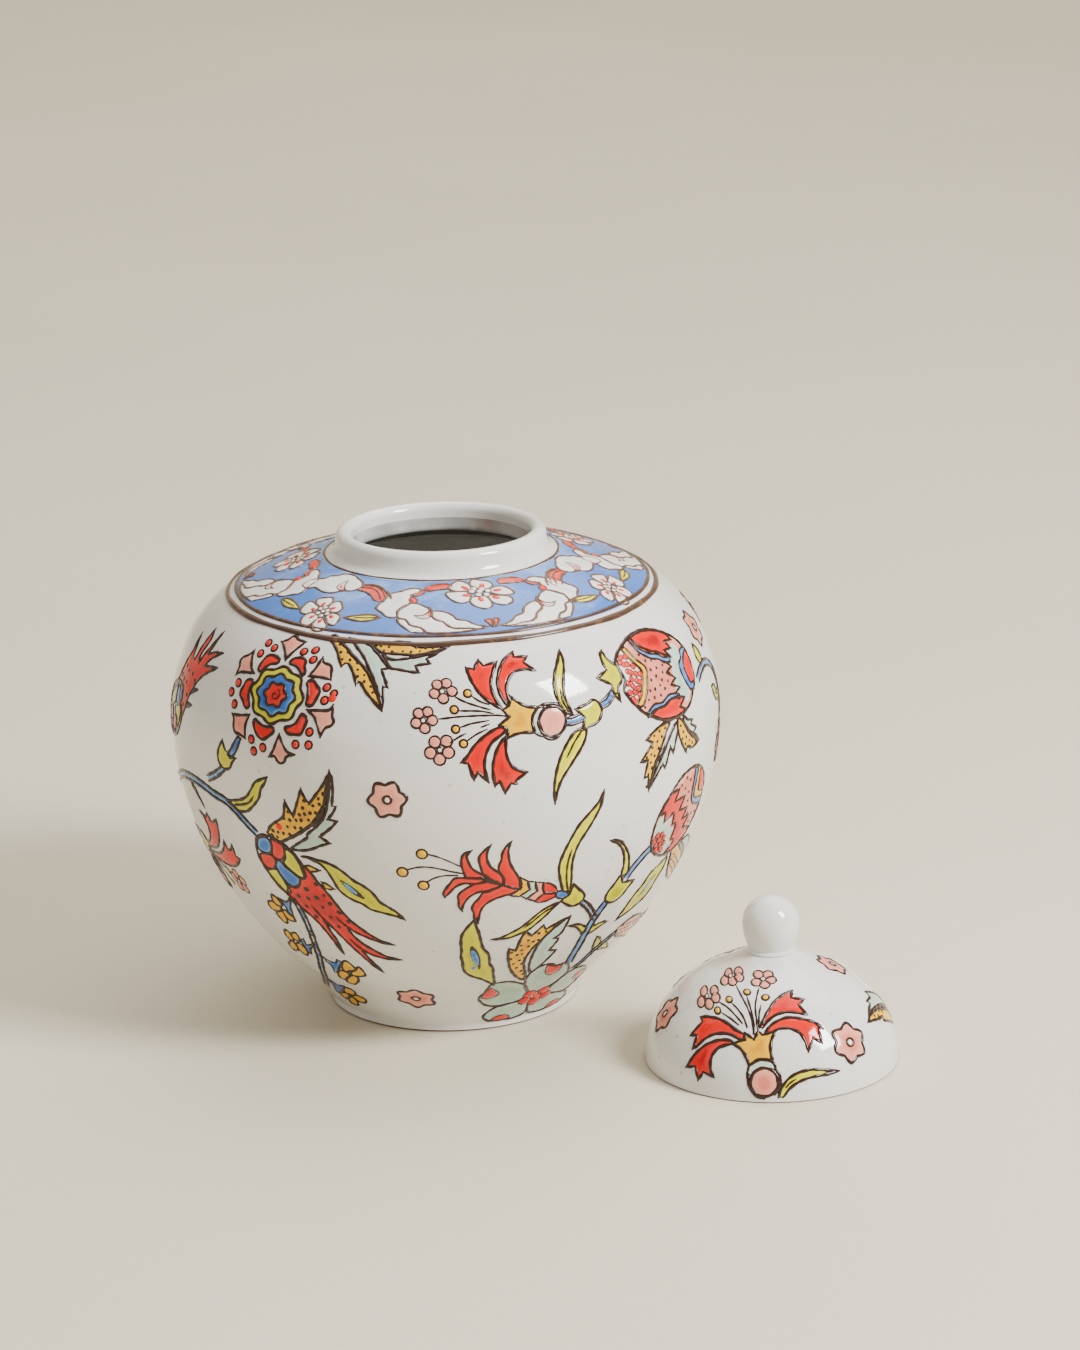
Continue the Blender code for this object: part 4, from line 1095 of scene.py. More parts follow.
def leftSide(c, hangsOn):
    c.stem([(-45.8, -1.6), (-42, -1.2), (-37, 0), (-31, 3), (-25, 5.5), (-20, 7.5), (-15, 9.3), (-10, 10.7),
            (-5, 11.6), (0, 12.3), (5, 12.6), (10, 12.4), (15, 11.9), (20, 11),
            *c.borrow(hangsOn, [(-25, 28), (-20, 25.8), (-16, 23), (-12, 20), (-8.6, 17.6)])], 2.0, 3.6)
    c.shape("lime", [(8.7, 1.8, 1), (6, 5.5), (2.5, 9), (-2, 10.2, 1), (1, 7.8), (4, 5.8), (7, 3.3)], 0.8)
    ribbon(c, [(0.5, -1.8, 1), (4, -3.5), (6, -7), (5, -11), (2, -14.5), (-3.5, -17.3, 1), (-3, -19, 1),
               (3, -18), (8, -16), (12, -12.5), (15, -8), (16.3, -4), (16.8, -1, 1), (14, -2.8),
               (11.3, -4, 1), (9.3, -0.3, 1), (6.5, -3, 1)])
    ribbon(c, [(-5, -21.5, 1), (0, -21), (5, -20), (10, -18), (14, -15), (16, -12.5), (17.5, -10.2, 1),
               (18, -14.5, 1), (20.5, -13.5), (23.3, -10.4, 1), (22.8, -15.7, 1), (25.4, -16.5, 1),
               (22, -19.5), (18, -22), (13, -23.3), (8, -23.7), (3, -23.2), (-2, -23.4, 1)])
    c.shape("yellow", [(-3.4, -17.5, 1), (-8, -14.6), (-13, -15.6), (-18, -19), (-19, -23), (-16, -25.6),
                       (-11, -24.4), (-6.4, -23.4, 1), (-8, -21, 1), (-3.4, -20, 1)], 1.0)
    c.shape("pale", [(-13.4, -15.6), (-18.4, -19), (-19.4, -23), (-16.4, -25.9), (-19.4, -27), (-23, -23.6),
                     (-22, -18.6), (-17, -14.8)], 0.8)
    c.shape("pink", around(-26.8, -22.4, 5.6, 12), 1.0)
    plainFloret(c, 14.6, -30.4, 1.1, 20)
    for line in ([(12, -29), (4, -25.6), (-4, -22.4)], [(6.6, -27), (0, -24.6), (-5, -22.8)],
                 [(5, -33), (0, -27.6), (-5, -23.4)]):
        c.stroke(line, 0.55)
    bead(c, 7.4, -27.4, 1.1, "yellow")
    bead(c, 5.4, -33.8, 1.1, "yellow")
    ribbon(c, [(-7, -24.4, 1), (-6, -28), (-8, -33), (-12.6, -38, 1), (-10, -38, 1), (-9.6, -42, 1),
               (-6.6, -38.6, 1), (-2.4, -40, 1), (-3, -34), (-3.6, -29), (-5, -25)])
    ribbon(c, [(-12, -26.4, 1), (-14, -30), (-18, -34), (-23, -36, 1), (-20.6, -38, 1), (-23, -42, 1),
               (-18, -40.4, 1), (-14.6, -42, 1), (-12, -36), (-10.4, -31)])


def otherBud(c):
    c.shape("red", [(-21, -1, 1), (-17, 7), (-15, 11), (-12.5, 15.5), (-13.6, 23, 1), (-10.5, 18),
                    (-9, 13.5, 1), (-6, 13, 1), (-5, 18), (-4, 28, 1), (-1, 23), (-2, 16), (-0.5, 13, 1),
                    (1, 17), (2.5, 21), (4.2, 29, 1), (4.5, 22), (4, 18.5), (8, 20.3), (14.2, 21.6, 1),
                    (9, 18), (5, 13.5, 1), (10, 14.6), (15.8, 15.5, 1), (10, 12), (5, 8), (1.5, 3),
                    (-0.5, -2), (-2, -6), (-5, -11, 1), (-9, -6), (-14, 1)], 1.0)
    c.dots(((-8.2, 8), (-2.8, 8), (-6.6, 3.6), (-11, 3.6), (-2.6, -0.6), (-4.6, -5), (-15, 4.4), (1.4, 6.4),
            (-12, 9), (-16.6, 1.4)), 0.95)
    for thorn in ([(0.8, 3.6, 1), (5, 4.6), (9.4, 4.9, 1), (5, 2.2), (0.4, -0.2, 1)],
                  [(-0.4, -2.2, 1), (3, -2.1), (6.4, -2.5, 1), (2, -5), (-2.4, -6, 1)]):
        c.patch("ink", thorn, rise=0.3)
    c.patch("cream", [(-5, -10.8), (-8, -16), (-13, -19), (-19, -20.6), (-26, -19), (-30, -13), (-29, -6),
                      (-24, -1), (-19, 0.6), (-13, 1.4), (-8.5, 0), (-6.6, -5)], rise=0.08)
    for colour, scale in (("blue", [(-15.6, 0), (-12, 1), (-9, 0), (-8, -4.6), (-12, -6.6), (-15.6, -7)]),
                          ("lime", [(-15.6, -8.4), (-12, -7.4), (-7.4, -6.4), (-6.8, -10), (-8.8, -14),
                                    (-12.4, -16.6), (-11, -12.6), (-14, -11.4)]),
                          ("lime", [(-17, -1), (-22, -2.6), (-27, -7), (-27, -10), (-21, -9), (-17, -7)]),
                          ("red", [(-13, -16.4), (-12, -13), (-16, -12.6), (-19, -15), (-17, -19),
                                   (-14, -18.6)]),
                          ("red", [(-28, -11.6), (-22, -10.4), (-19.4, -11.6), (-20.4, -15), (-25, -17)])):
        c.inlay(colour, scale, 0.75, 0.08, 0.14)
    c.outline([(-5, -11), (-8.4, -16.4), (-13, -19.4), (-19, -21), (-26, -19.4), (-30.4, -13), (-29.4, -6),
               (-24, -0.8), (-19, 0.8), (-13, 1.8), (-8.2, 0.4), (-6.2, -5)], 1.0, base=0.06)


def sideSpray(c):                            # a stem from the pomegranate, with its own small flower
    c.stem([(-17, 15), (-10, 17.5), (-2, 18), (5, 15), (9, 8), (10, 0), (8.8, -8)], 1.9, 3.4)
    c.shape("lime", [(-8, 28, 1), (-10, 23), (-7.5, 18.4, 1), (-4.4, 21), (-5.2, 25)])
    c.shape("lime", [(9, 4.5, 1), (5, 4), (1.5, 7.5), (-3, 8, 1), (-0.5, 3.2), (4, 0.4), (9, 0.5, 1)])
    ribs(c, [(7.6, 2.4), (4, 2.8), (0.6, 5.6)])
    for flip in (-1, 1):
        ribbon(c.part(8.8, 0, flip=flip), [(0.6, -7.6, 1), (4, -10.6), (6.6, -15), (8.8, -19.4, 1),
                                           (6.8, -20.6, 1), (6.4, -24.6, 1), (3.4, -19.4), (0.9, -13.4, 1)])
    c.shape("pink", around(8.8, -22.6, 3.6, 12, 1.12), 0.9)


def bandFlower(c, size, turn=0.0):           # a six-petalled flower in the blue band
    b = c.part(0, 0, turn, size)
    petals = [[(-11, 4.5), (-9, 7), (-6, 9.3), (-3.5, 8), (-2, 4.5), (-3, 1.8), (-6, 1.3), (-10, 2.5)],
              [(-1.5, 4.5), (-1.7, 7.5), (0, 9.5), (3, 8.3), (6, 6.5), (6.5, 3.5), (4.5, 1.8), (1.5, 2)],
              [(5, 1.5), (8, 2.5), (11, 1.5), (13, -1.5), (13.5, -4), (10, -4.5), (6.5, -3), (4.5, -1.5)],
              [(3, -3), (7, -4), (11, -6), (11.5, -9), (8, -11), (4.5, -9.5), (3, -7.5), (2.5, -4.5)],
              [(-4.5, -4), (-5, -8), (-3, -10.8), (0, -12), (2.5, -10.5), (2.8, -7), (1.8, -3.5), (-1.5, -3)],
              [(-13, 0), (-12.5, -3), (-10.5, -6.2), (-8, -7), (-5, -5.5), (-4, -2), (-5, 1), (-9.5, 1.3),
               (-12, 1.3)]]
    drops = [(-4.7, 3.5, -50), (2.2, 4, 65), (7.3, -0.5, 0), (5.3, -5.5, -42), (-0.8, -5.7, 95),
             (-5.5, -2, 185)]
    for petal in petals:
        b.inlay("cream", petal, 0.7, 0.1, 0.14, "brownInk")
    for x2, y2, lean in drops:
        b.bead("red", x2, y2, 1.9 * size, 1.2 * size, lean + turn, 0.4, 0.26, 12)
    for x2, y2 in ((-1.5, 2.3), (1.5, 1.5), (3.5, -0.2), (2.3, -2.7), (-0.8, -2.3), (-2.7, 0.5), (0.2, 0)):
        b.bead("cream", x2, y2, 1.25 * size, high=0.32, base=0.3)
        b.outline(around(x2, y2, 1.3, 7), 0.42, "brownInk", base=0.3)


def cloudShape(c, colour, points, width=0.72, base=0.1):      # a patch with a thin brown line
    c.patch(colour, points, base=base)
    c.outline(points, width, "brownInk", base=base + 0.04, thorn=0.5)


def archCloud(c):                            # the tall cloud over a low flower, with its two-strand tail
    cloudShape(c, "cream", [(-25, 5), (-24.5, 8.5), (-22, 11), (-18, 13.5), (-17, 15.5), (-14, 17), (-12, 19),
                            (-8.5, 20.2), (-5.5, 19.8), (-3, 18.6), (-1, 17.6), (1, 16.2), (2.3, 13.5),
                            (1.5, 11), (0, 9.7), (-3, 9), (-5, 7.5), (-7, 6), (-11, 5.3), (-15, 6),
                            (-17.5, 6.5), (-20, 5), (-23, 4.3)])
    cloudShape(c, "red", [(-6, 16, 1), (-7.7, 12.5), (-7.7, 10.2), (-6, 9), (-4, 8.5), (-1.8, 9.2, 1),
                          (-3.7, 10.4), (-5.2, 12.4)], 0.55, 0.2)
    cloudShape(c, "ember", [(2.3, 15.2, 1), (5, 16), (9, 15.5), (13, 13), (16.5, 9.5), (17, 6),
                            (15.5, 4.8, 1), (13.5, 5.5), (10, 8.5), (6, 10.5), (1.8, 11, 1), (2.5, 13)])
    c.stroke([(3, 13), (7, 13.4), (11, 11.4), (15.4, 6.6)], 0.55, "brownInk", base=0.3)
    c.stroke([(3, 14.6), (8, 14.8), (12.6, 12.2), (16.2, 8.2)], 0.4, "brownInk", base=0.3)
    c.stroke([(14.5, 12.3), (16.5, 10.5), (18, 9), (19.4, 7)], 0.8, "brownInk", base=0.2)


def highCloud(c):                            # three lobes climbing from a low flower to a high one
    cloudShape(c, "cream", [(-26, 0), (-27, -3), (-25, -5), (-23, -7.5), (-20, -8), (-18.6, -6.5),
                            (-18.3, -4), (-15.5, -1), (-13, 2), (-13, 5), (-12.5, 7.5), (-11, 8.6),
                            (-9.3, 10.5), (-9, 12), (-11, 12.8), (-14, 12), (-17, 10), (-21, 8), (-23, 5),
                            (-24.5, 1.5)])
    cloudShape(c, "red", [(-13.4, 7.6, 1), (-11, 6.9), (-8.8, 8), (-7.4, 10.6), (-7.8, 12, 1), (-9.6, 9.7),
                          (-11.6, 8.6)], 0.55, 0.2)
    c.bead("red", -12.2, 3.8, 1.4, 1.9, 0, 0.4, 0.24)
    c.outline(around(-12.2, 3.8, 1.6, 8, 1.3), 0.5, "brownInk", base=0.2)
    cloudShape(c, "cream", [(-18.8, -5), (-18, -2.5), (-15.5, 0), (-13, 2), (-10, 1.3), (-7, -1),
                            (-5.2, -3.5), (-5.3, -6.5), (-4, -8.5), (-1, -10.5), (1, -13.5), (4, -14.9),
                            (9, -15.2), (13, -16.2, 1), (4, -17), (-6, -17), (-8, -16.4), (-9.5, -14),
                            (-12, -13.5), (-14, -12), (-15.5, -9), (-18, -8.3)])
    cloudShape(c, "red", [(-12.2, -6.2, 1), (-10, -6.7), (-7.5, -5.5), (-6.3, -3.5), (-6.2, -0.6, 1),
                          (-5, -3), (-5.3, -6), (-7, -8.3), (-9.5, -8.5), (-11, -7.5)], 0.6, 0.2)
    cloudShape(c, "cream", [(-4.7, -3.7), (-2, -3.5), (1, -5), (3, -7), (4.3, -9.2), (8, -10.5), (11, -13),
                            (14, -14.3), (16.6, -15, 1), (13, -15.8), (8, -15), (3, -14.6), (0.5, -12.5),
                            (-1, -10.7), (-4, -9), (-5, -7)])
    cloudShape(c, "cream", [(-18.5, -8.5), (-18.3, -11), (-16, -14), (-13.5, -16.6, 1), (-8, -16.6),
                            (-10, -13.8), (-13.5, -12.5), (-15.5, -9), (-17, -8.7)])
    cloudShape(c, "red", [(15.2, -11), (16.5, -10.2), (18.5, -12), (19, -14.5), (18, -15.2), (16.5, -13)],
               0.7)
    cloudShape(c, "ember", [(-8, 11.8, 1), (-6.5, 14), (-3, 15.7), (1, 16), (3, 15, 1), (3, 12.5, 1), (0, 12),
                            (-3, 11.5), (-6, 10.8)])
    c.bead("red", -5.6, 12.5, 2.0, 1.3, 10, 0.3, 0.28)


def sprig(c, x, y, turn, size):              # one pointed leaf in the band
    b = c.part(x, y, turn, size)
    leaf = [(-8, 0, 1), (-4, 2.2), (0, 2.6), (5, 1.4), (9, 0, 1), (4, -1.6), (-1, -2.4), (-5, -1.8)]
    b.inlay("lime", leaf, 0.75, 0.12, 0.16, "brownInk")
    b.stroke([(-7, 0), (-2, 0.3), (4, 0)], 0.45, "brownInk", base=0.34)


bandLook = {                                 # places are millimetres up the outline, bearings are in degrees
    "low": 197.4, "high": 235.2, "lift": 0.1, "edge": 0.8, "rows": 26, "segments": 192,
    "paleFrom": 0.179, "paleOver": 0.006, "lowRow": 208.0, "highRow": 225.4, "cloudRow": 217, "archRow": 214,
    # bearing, side and size; bearing and size; bearing from, bearing to and size; place, width and waver
    "lowFlowers": ((-37.8, 1, 1.0), (64.0, -1, 1.0), (153.4, 1, 0.8), (230.3, -1, 0.8)),
    "highFlowers": ((15.7, 1.0), (115.0, 0.9), (191.8, 0.85), (268.7, 0.9)),
    "clouds": ((-37.8, 15.7, 1.0), (64.0, 15.7, 1.0), (64.0, 115.0, 1.0), (-37.8, -91.3, 1.0),
               (153.4, 115.0, 0.8), (153.4, 191.8, 0.8), (230.3, 191.8, 0.8), (230.3, 268.7, 0.8)),
    "rings": ((198.4, 1.9, 0.18), (194.4, 2.7, 0.16), (235.9, 1.2, 0.08))}


def bandGround():
    low, high = bandLook["low"], bandLook["high"]
    shape = bmesh.new()
    corners = []
    for s in np.linspace(low, high, bandLook["rows"]):
        share = min(1, (s - low) / bandLook["edge"] + 0.1, (high - s) / bandLook["edge"] + 0.1)
        corners.append(shape.verts.new(jarSkin.at(0.0, s, bandLook["lift"] * share)))
    edges = [shape.edges.new(pair) for pair in zip(corners, corners[1:])]
    bmesh.ops.spin(shape, geom=corners + edges, cent=(0, 0, 0), axis=(0, 0, 1), angle=2 * pi,
                   steps=bandLook["segments"], use_merge=True)
    bmesh.ops.remove_doubles(shape, verts=shape.verts, dist=mergeDistance / 10)
    deep = shape.verts.layers.float.new("deep")
    for v in shape.verts:
        v[deep] = 0.55 - 0.35 * max(0, (v.co.z - bandLook["paleFrom"]) / bandLook["paleOver"])
    Chart(jarSkin, 0, 0, zone="band").keep(shape, "ground")


def ring(s, width, waver):                   # a brown line all round the jar, a little uneven
    angles = np.linspace(0, 2 * pi, 361)
    wobble = waver * (np.sin(angles * 5 + s) + 0.6 * np.sin(angles * 13 + 2 * s))
    world = jarSkin.at(angles, s + wobble, np.zeros(len(angles)))
    thick = width / 2 * (1 + 0.10 * np.sin(angles * 9 + s) + 0.07 * np.sin(angles * 23))
    keepLine(jarSkin, "band", "ringInk", 0.0, world, thick)


def paintBand():
    def at(bearing, s, flip=1, size=1.0):
        return Chart(jarSkin, bearing, s, np.diag([flip * size, size]), zone="band", base=bandLook["lift"])

    bandGround()
    for low, high, size in bandLook["clouds"]:
        flip = -1 if high < low else 1
        highCloud(at(high - flip * 13.7 * size, bandLook["cloudRow"] - 12 * (1 - size), flip, size))
    for bearing, flip, size in bandLook["lowFlowers"]:
        archCloud(at(bearing + 1.8 * flip, bandLook["archRow"] + 3 * (1 - size), flip, size))
        bandFlower(at(bearing, bandLook["lowRow"], flip), 0.86 * size, -18)
        for side in (-1, 1):
            sprig(at(bearing, bandLook["lowRow"], side), 18.5 * size, -0.5, 188, 0.85 * size)
    for bearing, size in bandLook["highFlowers"]:
        bandFlower(at(bearing, bandLook["highRow"]), size)
    for place, width, waver in bandLook["rings"]:
        ring(place, width, waver)


def lidFlower(c):
    for x, y, petals, r in ((-1.5, 19.8, [(-3.5, 22), (0.2, 22.2), (1.6, 19.3), (-0.6, 16.9), (-4, 17.8)],
                             1.9),
                            (-16, 18.2, [(-12.4, 21.4), (-11.6, 18.8), (-14.4, 16.2), (-18.4, 15.2),
                                         (-17.6, 19)], 2.1),
                            (-25.6, 5.8, [(-22.5, 9.3), (-20.9, 6.6), (-23.6, 3.2), (-28.2, 2.8),
                                          (-28.4, 7.2)], 2.1)):
        floret(c, x, y, petals, r)
    for x, y in ((-7.3, 12.3), (-14.5, 7.4), (-19.1, 1.6), (0.1, 10.4)):
        bead(c, x, y, 1.1, "yellow")
    for line in ([(-3.5, -6), (-4, -2), (-6, 4), (-9, 9.5), (-12.5, 15)],
                 [(-3.2, -6), (-3.5, -2), (-5, 4), (-7.3, 10.6)],
                 [(-2, -4), (-2.8, 1), (-3.5, 6), (-3.3, 10), (-2.7, 15.4)],
                 [(-1.5, -3), (-1.8, 2), (-1.4, 7)], [(-6, -3.5), (-8, 1), (-11, 4.5), (-13.6, 6.4)],
                 [(-8, -2), (-11, 1), (-15, 4), (-19, 5.3)], [(-9.5, -2.7), (-13, -0.5), (-17.2, 1.2)]):
        c.stroke(line, 0.58, taper=(0.9, 0.5))
    ribbon(c, [(-27, -2.8, 1), (-23, -1.8), (-18, -1.6), (-14, -2.7), (-10.5, -4.8), (-7.3, -6, 1),
               (-6.8, -8.2, 1), (-9, -8.3), (-12, -7), (-16, -7), (-20, -8.2), (-24, -11), (-27, -14),
               (-29.3, -15.5, 1), (-27.5, -10, 1), (-31, -11, 1), (-28.6, -8), (-25.7, -4.5, 1)])
    ribbon(c, [(-10.8, -10.2, 1), (-12.5, -9.2), (-16, -9.5), (-20, -11), (-24, -13.5), (-28, -17.5),
               (-30.5, -21), (-32, -23, 1), (-27.5, -21.7, 1), (-26, -26.6, 1), (-23.5, -23, 1),
               (-19, -24.1, 1), (-20.5, -20.5), (-20, -16.5), (-17.5, -13), (-14, -11.2)])
    ribbon(c, [(-1.3, -3, 1), (0, 0), (1.5, 4), (4, 9), (7.5, 12), (10.2, 13.2, 1), (10, 9.8, 1),
               (15.5, 8.2, 1), (13.3, 6, 1), (17, 1.3, 1), (13, 2.5), (9, 3.3), (5, 2.5), (2, 0), (0, -3, 1)])
    ribbon(c, [(1, -4.5, 1), (3.5, -1.5), (7, 0.5), (10, 1), (15, -0.2), (20, -2.3), (24, -5.5, 1),
               (21.8, -5, 1), (23.5, -10.8, 1), (19.8, -8.6, 1), (18, -13.3, 1), (16.5, -9), (14, -5.5),
               (10, -3.5), (6, -3.5), (3.5, -4.9, 1)])
    c.shape("yellow", [(-12, -10.5, 1), (-8, -8.8), (-6.7, -8.5, 1), (-6.8, -5.5, 1), (-5, -6.8),
                       (-3.2, -8, 1), (-1.8, -4.3, 1), (0, -6, 1), (2.3, -5.2), (4.8, -4.5, 1), (3.5, -8),
                       (3.3, -12), (4.4, -16.4, 1), (2, -15.5), (-1.5, -15.8), (-4.8, -18.4, 1),
                       (-5.7, -15.5), (-7.5, -12.8), (-9.5, -11.2)], 1.0)
    c.shape("pale", [(-5.3, -20.8, 1), (-4.6, -18), (-1.5, -16), (2, -15.8), (4.7, -17), (5.7, -19.6, 1),
                     (3, -19), (0, -18.7), (-2.5, -20), (-4, -22, 1)], 0.8)
    c.shape("pink", around(1.2, -24.3, 5.3, 12, 1.04), 1.0)
    c.stroke([(-5.4, -20.4), (-5, -24), (-3.6, -27.6), (-1, -30), (1.6, -30.8)], 1.0, taper=(0.6, 0.4))
    c.stroke([(5.7, -19.4), (7.2, -22.6), (6.8, -26.4), (5, -29.4)], 1.0, taper=(0.6, 0.4))
    c.shape("lime", [(31, -22.6, 1), (26, -22.9), (20, -23.1), (15, -24.2), (11, -26.7), (8.6, -30, 1),
                     (6.6, -30, 1), (8, -26), (11, -22.5), (15, -20.7), (20, -20.3), (25, -21.2)], 0.95)
    ribs(c, [(9.4, -26.4), (11, -24.6), (13.4, -23.2)])


def lidLeaf(c):
    jaggedLeaf(c, [(6, -7.3, 1), (10, -5.8), (14, -5.8), (19, -6.6), (24, -8.6), (30, -11.2), (36, -15.4),
                   (40, -20, 1), (34, -18), (26, -14.4), (18.3, -11.2, 1), (20, -9.7, 1), (15, -9.2),
                   (10, -8)],
               [(8.6, -5.6, 1), (12, -3.6), (15.6, -2.8, 1), (14, -1, 1), (20, -1.6, 1), (18.8, 1.3, 1),
                (23, -0.5), (28, -3), (34, -6.6), (39, -12), (40.6, -18.6, 1), (34, -11.6), (28, -8.2),
                (22, -6), (15, -5)],
               [(9, -6.2), (15, -5.2), (22, -6.4), (29, -9.6), (36, -14.6)],
               [(12.4 + 3.1 * k, -7.1 - 0.07 * k * k - (0.9 if k % 2 else 0)) for k in range(8)], 0.55)


def leftEyeLeaf(c):                          # the long leaf that points in from the left, over the bud
    eyeLeaf(c, [(-33.5, 7.8, 1), (-26, 6.8), (-21, 5), (-17, 2), (-14, -0.8), (-11, -2.5), (-8, -5), (-6, -8),
                (-5, -10), (-2, -12.5), (1, -15), (4, -19.2, 1), (1, -17.5), (-4, -16), (-9, -14.5),
                (-12, -12), (-15, -10.8), (-18, -9), (-21, -6), (-23, -1.5), (-25, 2.5), (-27.5, 5.3)],
            [(-20.8, 0, 1), (-18, -1.3), (-14, -4.3), (-11, -7.7), (-9.8, -9.9, 1), (-13, -8.6), (-16, -6.7),
             (-19, -3.1)],
            [(-18.8, -1.9), (-17, -2.5), (-13.6, -6), (-13.4, -7.1), (-16, -5.9), (-18, -3.6)])
    c.stroke([(-36.5, 7.6), (-33, 7.7), (-28, 6.6)], 1.3, taper=(0.2, 1))


def rightLeaves(c):                          # the eyed leaf, the pink tail and the jagged leaf
    eyeLeaf(c, [(-30.3, 3.2, 1), (-29.5, 8), (-28, 15), (-25, 20), (-23.5, 24), (-21, 26), (-17, 28),
                (-14, 29.8, 1), (-13, 27), (-13, 23), (-14.5, 19), (-15, 14), (-17, 10.5), (-21, 8), (-24, 6),
                (-27, 5)],
            [(-24.9, 12.5, 1), (-23, 16), (-21, 20.5), (-19, 22.5), (-16.8, 23.2, 1), (-18.8, 19),
             (-20.5, 15.5), (-22.5, 13.5)], [(-22.4, 16.3), (-20.6, 20.7), (-18.8, 20.4), (-20.5, 16.4)])
    pinkTail(c)
    c.shape("yellow", [(-12, 33, 1), (-9, 25.5), (-6, 20.5), (-2, 16), (3, 13), (9, 10), (16, 7), (22, 6, 1),
                       (19, 12), (13, 18.5), (6, 24.5), (-2, 29.5), (-7, 34, 1)], 1.0)
    c.shape("pale", [(-4, 33, 1), (4, 28), (12, 22), (19, 15), (24, 8, 1), (25, 15), (20, 22), (13, 28),
                     (5, 33, 1)], 1.0)
    c.dots([(-7 + 3.3 * k, 28 - 2.1 * k - 2.4 * j) for k in range(8) for j in range(3)], 0.6)


places = {                                   # bearing and millimetres up the outline of each chart on the jar
    "mid": (36, 118), "wing": (-28, 134), "grapes": (-30, 42), "fruit": (56, 112), "bud": (-38, 92),
    "rosette": (-37.5, 165), "trumpet": (8, 163), "calyxes": (34, 165), "pomegranate": (54, 160),
    "left": (-66, 110), "otherBud": (-68, 155), "eye": (-12, 96), "feathers": (18, 92), "stem": (38, 62),
    "side": (68, 56), "foot": (22, 30), "spray": (78, 141), "spotted": (-13, 178)}
# bearing, place, radius and turn of each
jarBlossoms = ((-10.9, 132, 6.8, 0.1), (-12.6, 21, 7.2, 0.4), (81, 172, 7.0, 0.2))
# bearing, place and radius
lidBlossoms = ((39, 18.7, 7.0), (-79, 22.6, 6.8), (92, 47, 6.0), (-140, 20, 6.8), (128, 24, 7.0))


def laid(skin, bearing, s, back=False):      # the back repeats the front in a mirror
    if back:
        return Chart(skin, 180 - bearing, s, np.diag([-1.0, 1.0]), zone="back")
    return Chart(skin, bearing, s, zone="front")


def paintJar(back):
    at = {name: laid(jarSkin, *place, back) for name, place in places.items()}
    rosette(at["rosette"])
    calyxWithStem(at["rosette"].part(-23.6, -30.2, size=0.92))
    trumpet(at["trumpet"])
    calyxPair(at["calyxes"])
    pomegranate(at["pomegranate"])
    pomLeaves(at["pomegranate"], at["mid"], at["fruit"])
    fruit(at["fruit"])
    leftSide(at["left"], at["bud"])
    otherBud(at["otherBud"])
    grapes(at["grapes"], at["bud"])
    bud(at["bud"], at["grapes"], at["wing"])
    leftEyeLeaf(at["eye"])
    stamens(at["eye"])
    featherFlower(at["feathers"], at["mid"])
    mainStem(at["stem"], at["mid"])
    rightLeaves(at["side"])
    bottomLeaves(at["foot"])
    bottomFlower(at["foot"])
    sideSpray(at["spray"])
    spottedPair(at["spotted"])
    for bearing, s, radius, turn in jarBlossoms:
        blossom(laid(jarSkin, bearing, s, back), radius, turn)


def paintLid():
    lidFlower(laid(lidSkin, -8, 32))
    lidLeaf(laid(lidSkin, 50, 30))
    for bearing, s, radius in lidBlossoms:
        blossom(laid(lidSkin, bearing, s), radius, bearing)
    lidFlower(laid(lidSkin, 2, 32, True))
    lidLeaf(laid(lidSkin, 280, 34, True))


paintJar(False)
print("front painted")
paintJar(True)
print("back painted")
paintBand()
print("band painted")
paintLid()
print("lid painted")


def drawn(strokes):                          # one round-section mesh along every stroke
    curve = bpy.data.curves.new("ink", "CURVE")
    curve.dimensions = "3D"
    curve.bevel_depth = 1.0
    curve.bevel_resolution = 1
    curve.use_fill_caps = True
    for world, radii in strokes:
        spline = curve.splines.new("POLY")
        spline.points.add(len(world) - 1)
        spline.points.foreach_set("co", np.concatenate([world, np.ones((len(world), 1))], axis=1).ravel())
        spline.points.foreach_set("radius", radii)
    holder = bpy.data.objects.new("holder", curve)
    bpy.context.scene.collection.objects.link(holder)
    bpy.context.view_layer.update()
    mesh = bpy.data.meshes.new_from_object(holder.evaluated_get(bpy.context.evaluated_depsgraph_get()))
    bpy.data.objects.remove(holder)
    bpy.data.curves.remove(curve)
    return mesh


def press(mesh, skin, lift):                 # lines keep their width and lie lower on the glaze
    spots = np.empty(len(mesh.vertices) * 3)
    mesh.vertices.foreach_get("co", spots)
    spots = spots.reshape(-1, 3)
    flat, z = spots[:, :2] - skin.place[:2], spots[:, 2]
    r = np.hypot(*flat.T)
    s = np.interp(z, skin.points[:, 1], skin.run)
    for _ in range(4):
        offR, offZ = (here - np.interp(s, skin.run, skin.points[:, k]) for k, here in ((0, r), (1, z)))
        outR, outZ = (np.interp(s, skin.run, skin.out[:, k]) for k in (0, 1))
        s = np.clip(s + (offZ * outR - offR * outZ) / mm, 0, skin.run[-1])
    high = offR * outR + offZ * outZ - lift * mm
    change = (brush["flat"] - 1) * np.maximum(high, 0)
    spots[:, :2] += flat / r[:, None] * (outR * change)[:, None]
    spots[:, 2] += outZ * change
    mesh.vertices.foreach_set("co", spots.ravel())


def lineShape(skin, groups):                 # every stroke of one ink in one mesh
    shape = bmesh.new()
    for lift, strokes in groups.items():
        mesh = drawn(strokes)
        press(mesh, skin, lift)
        shape.from_mesh(mesh)
        bpy.data.meshes.remove(mesh)
    return shape


def nameOf(skin, zone, colour, ending=""):
    return skin + zone.capitalize() + colour[0].upper() + colour[1:] + ending


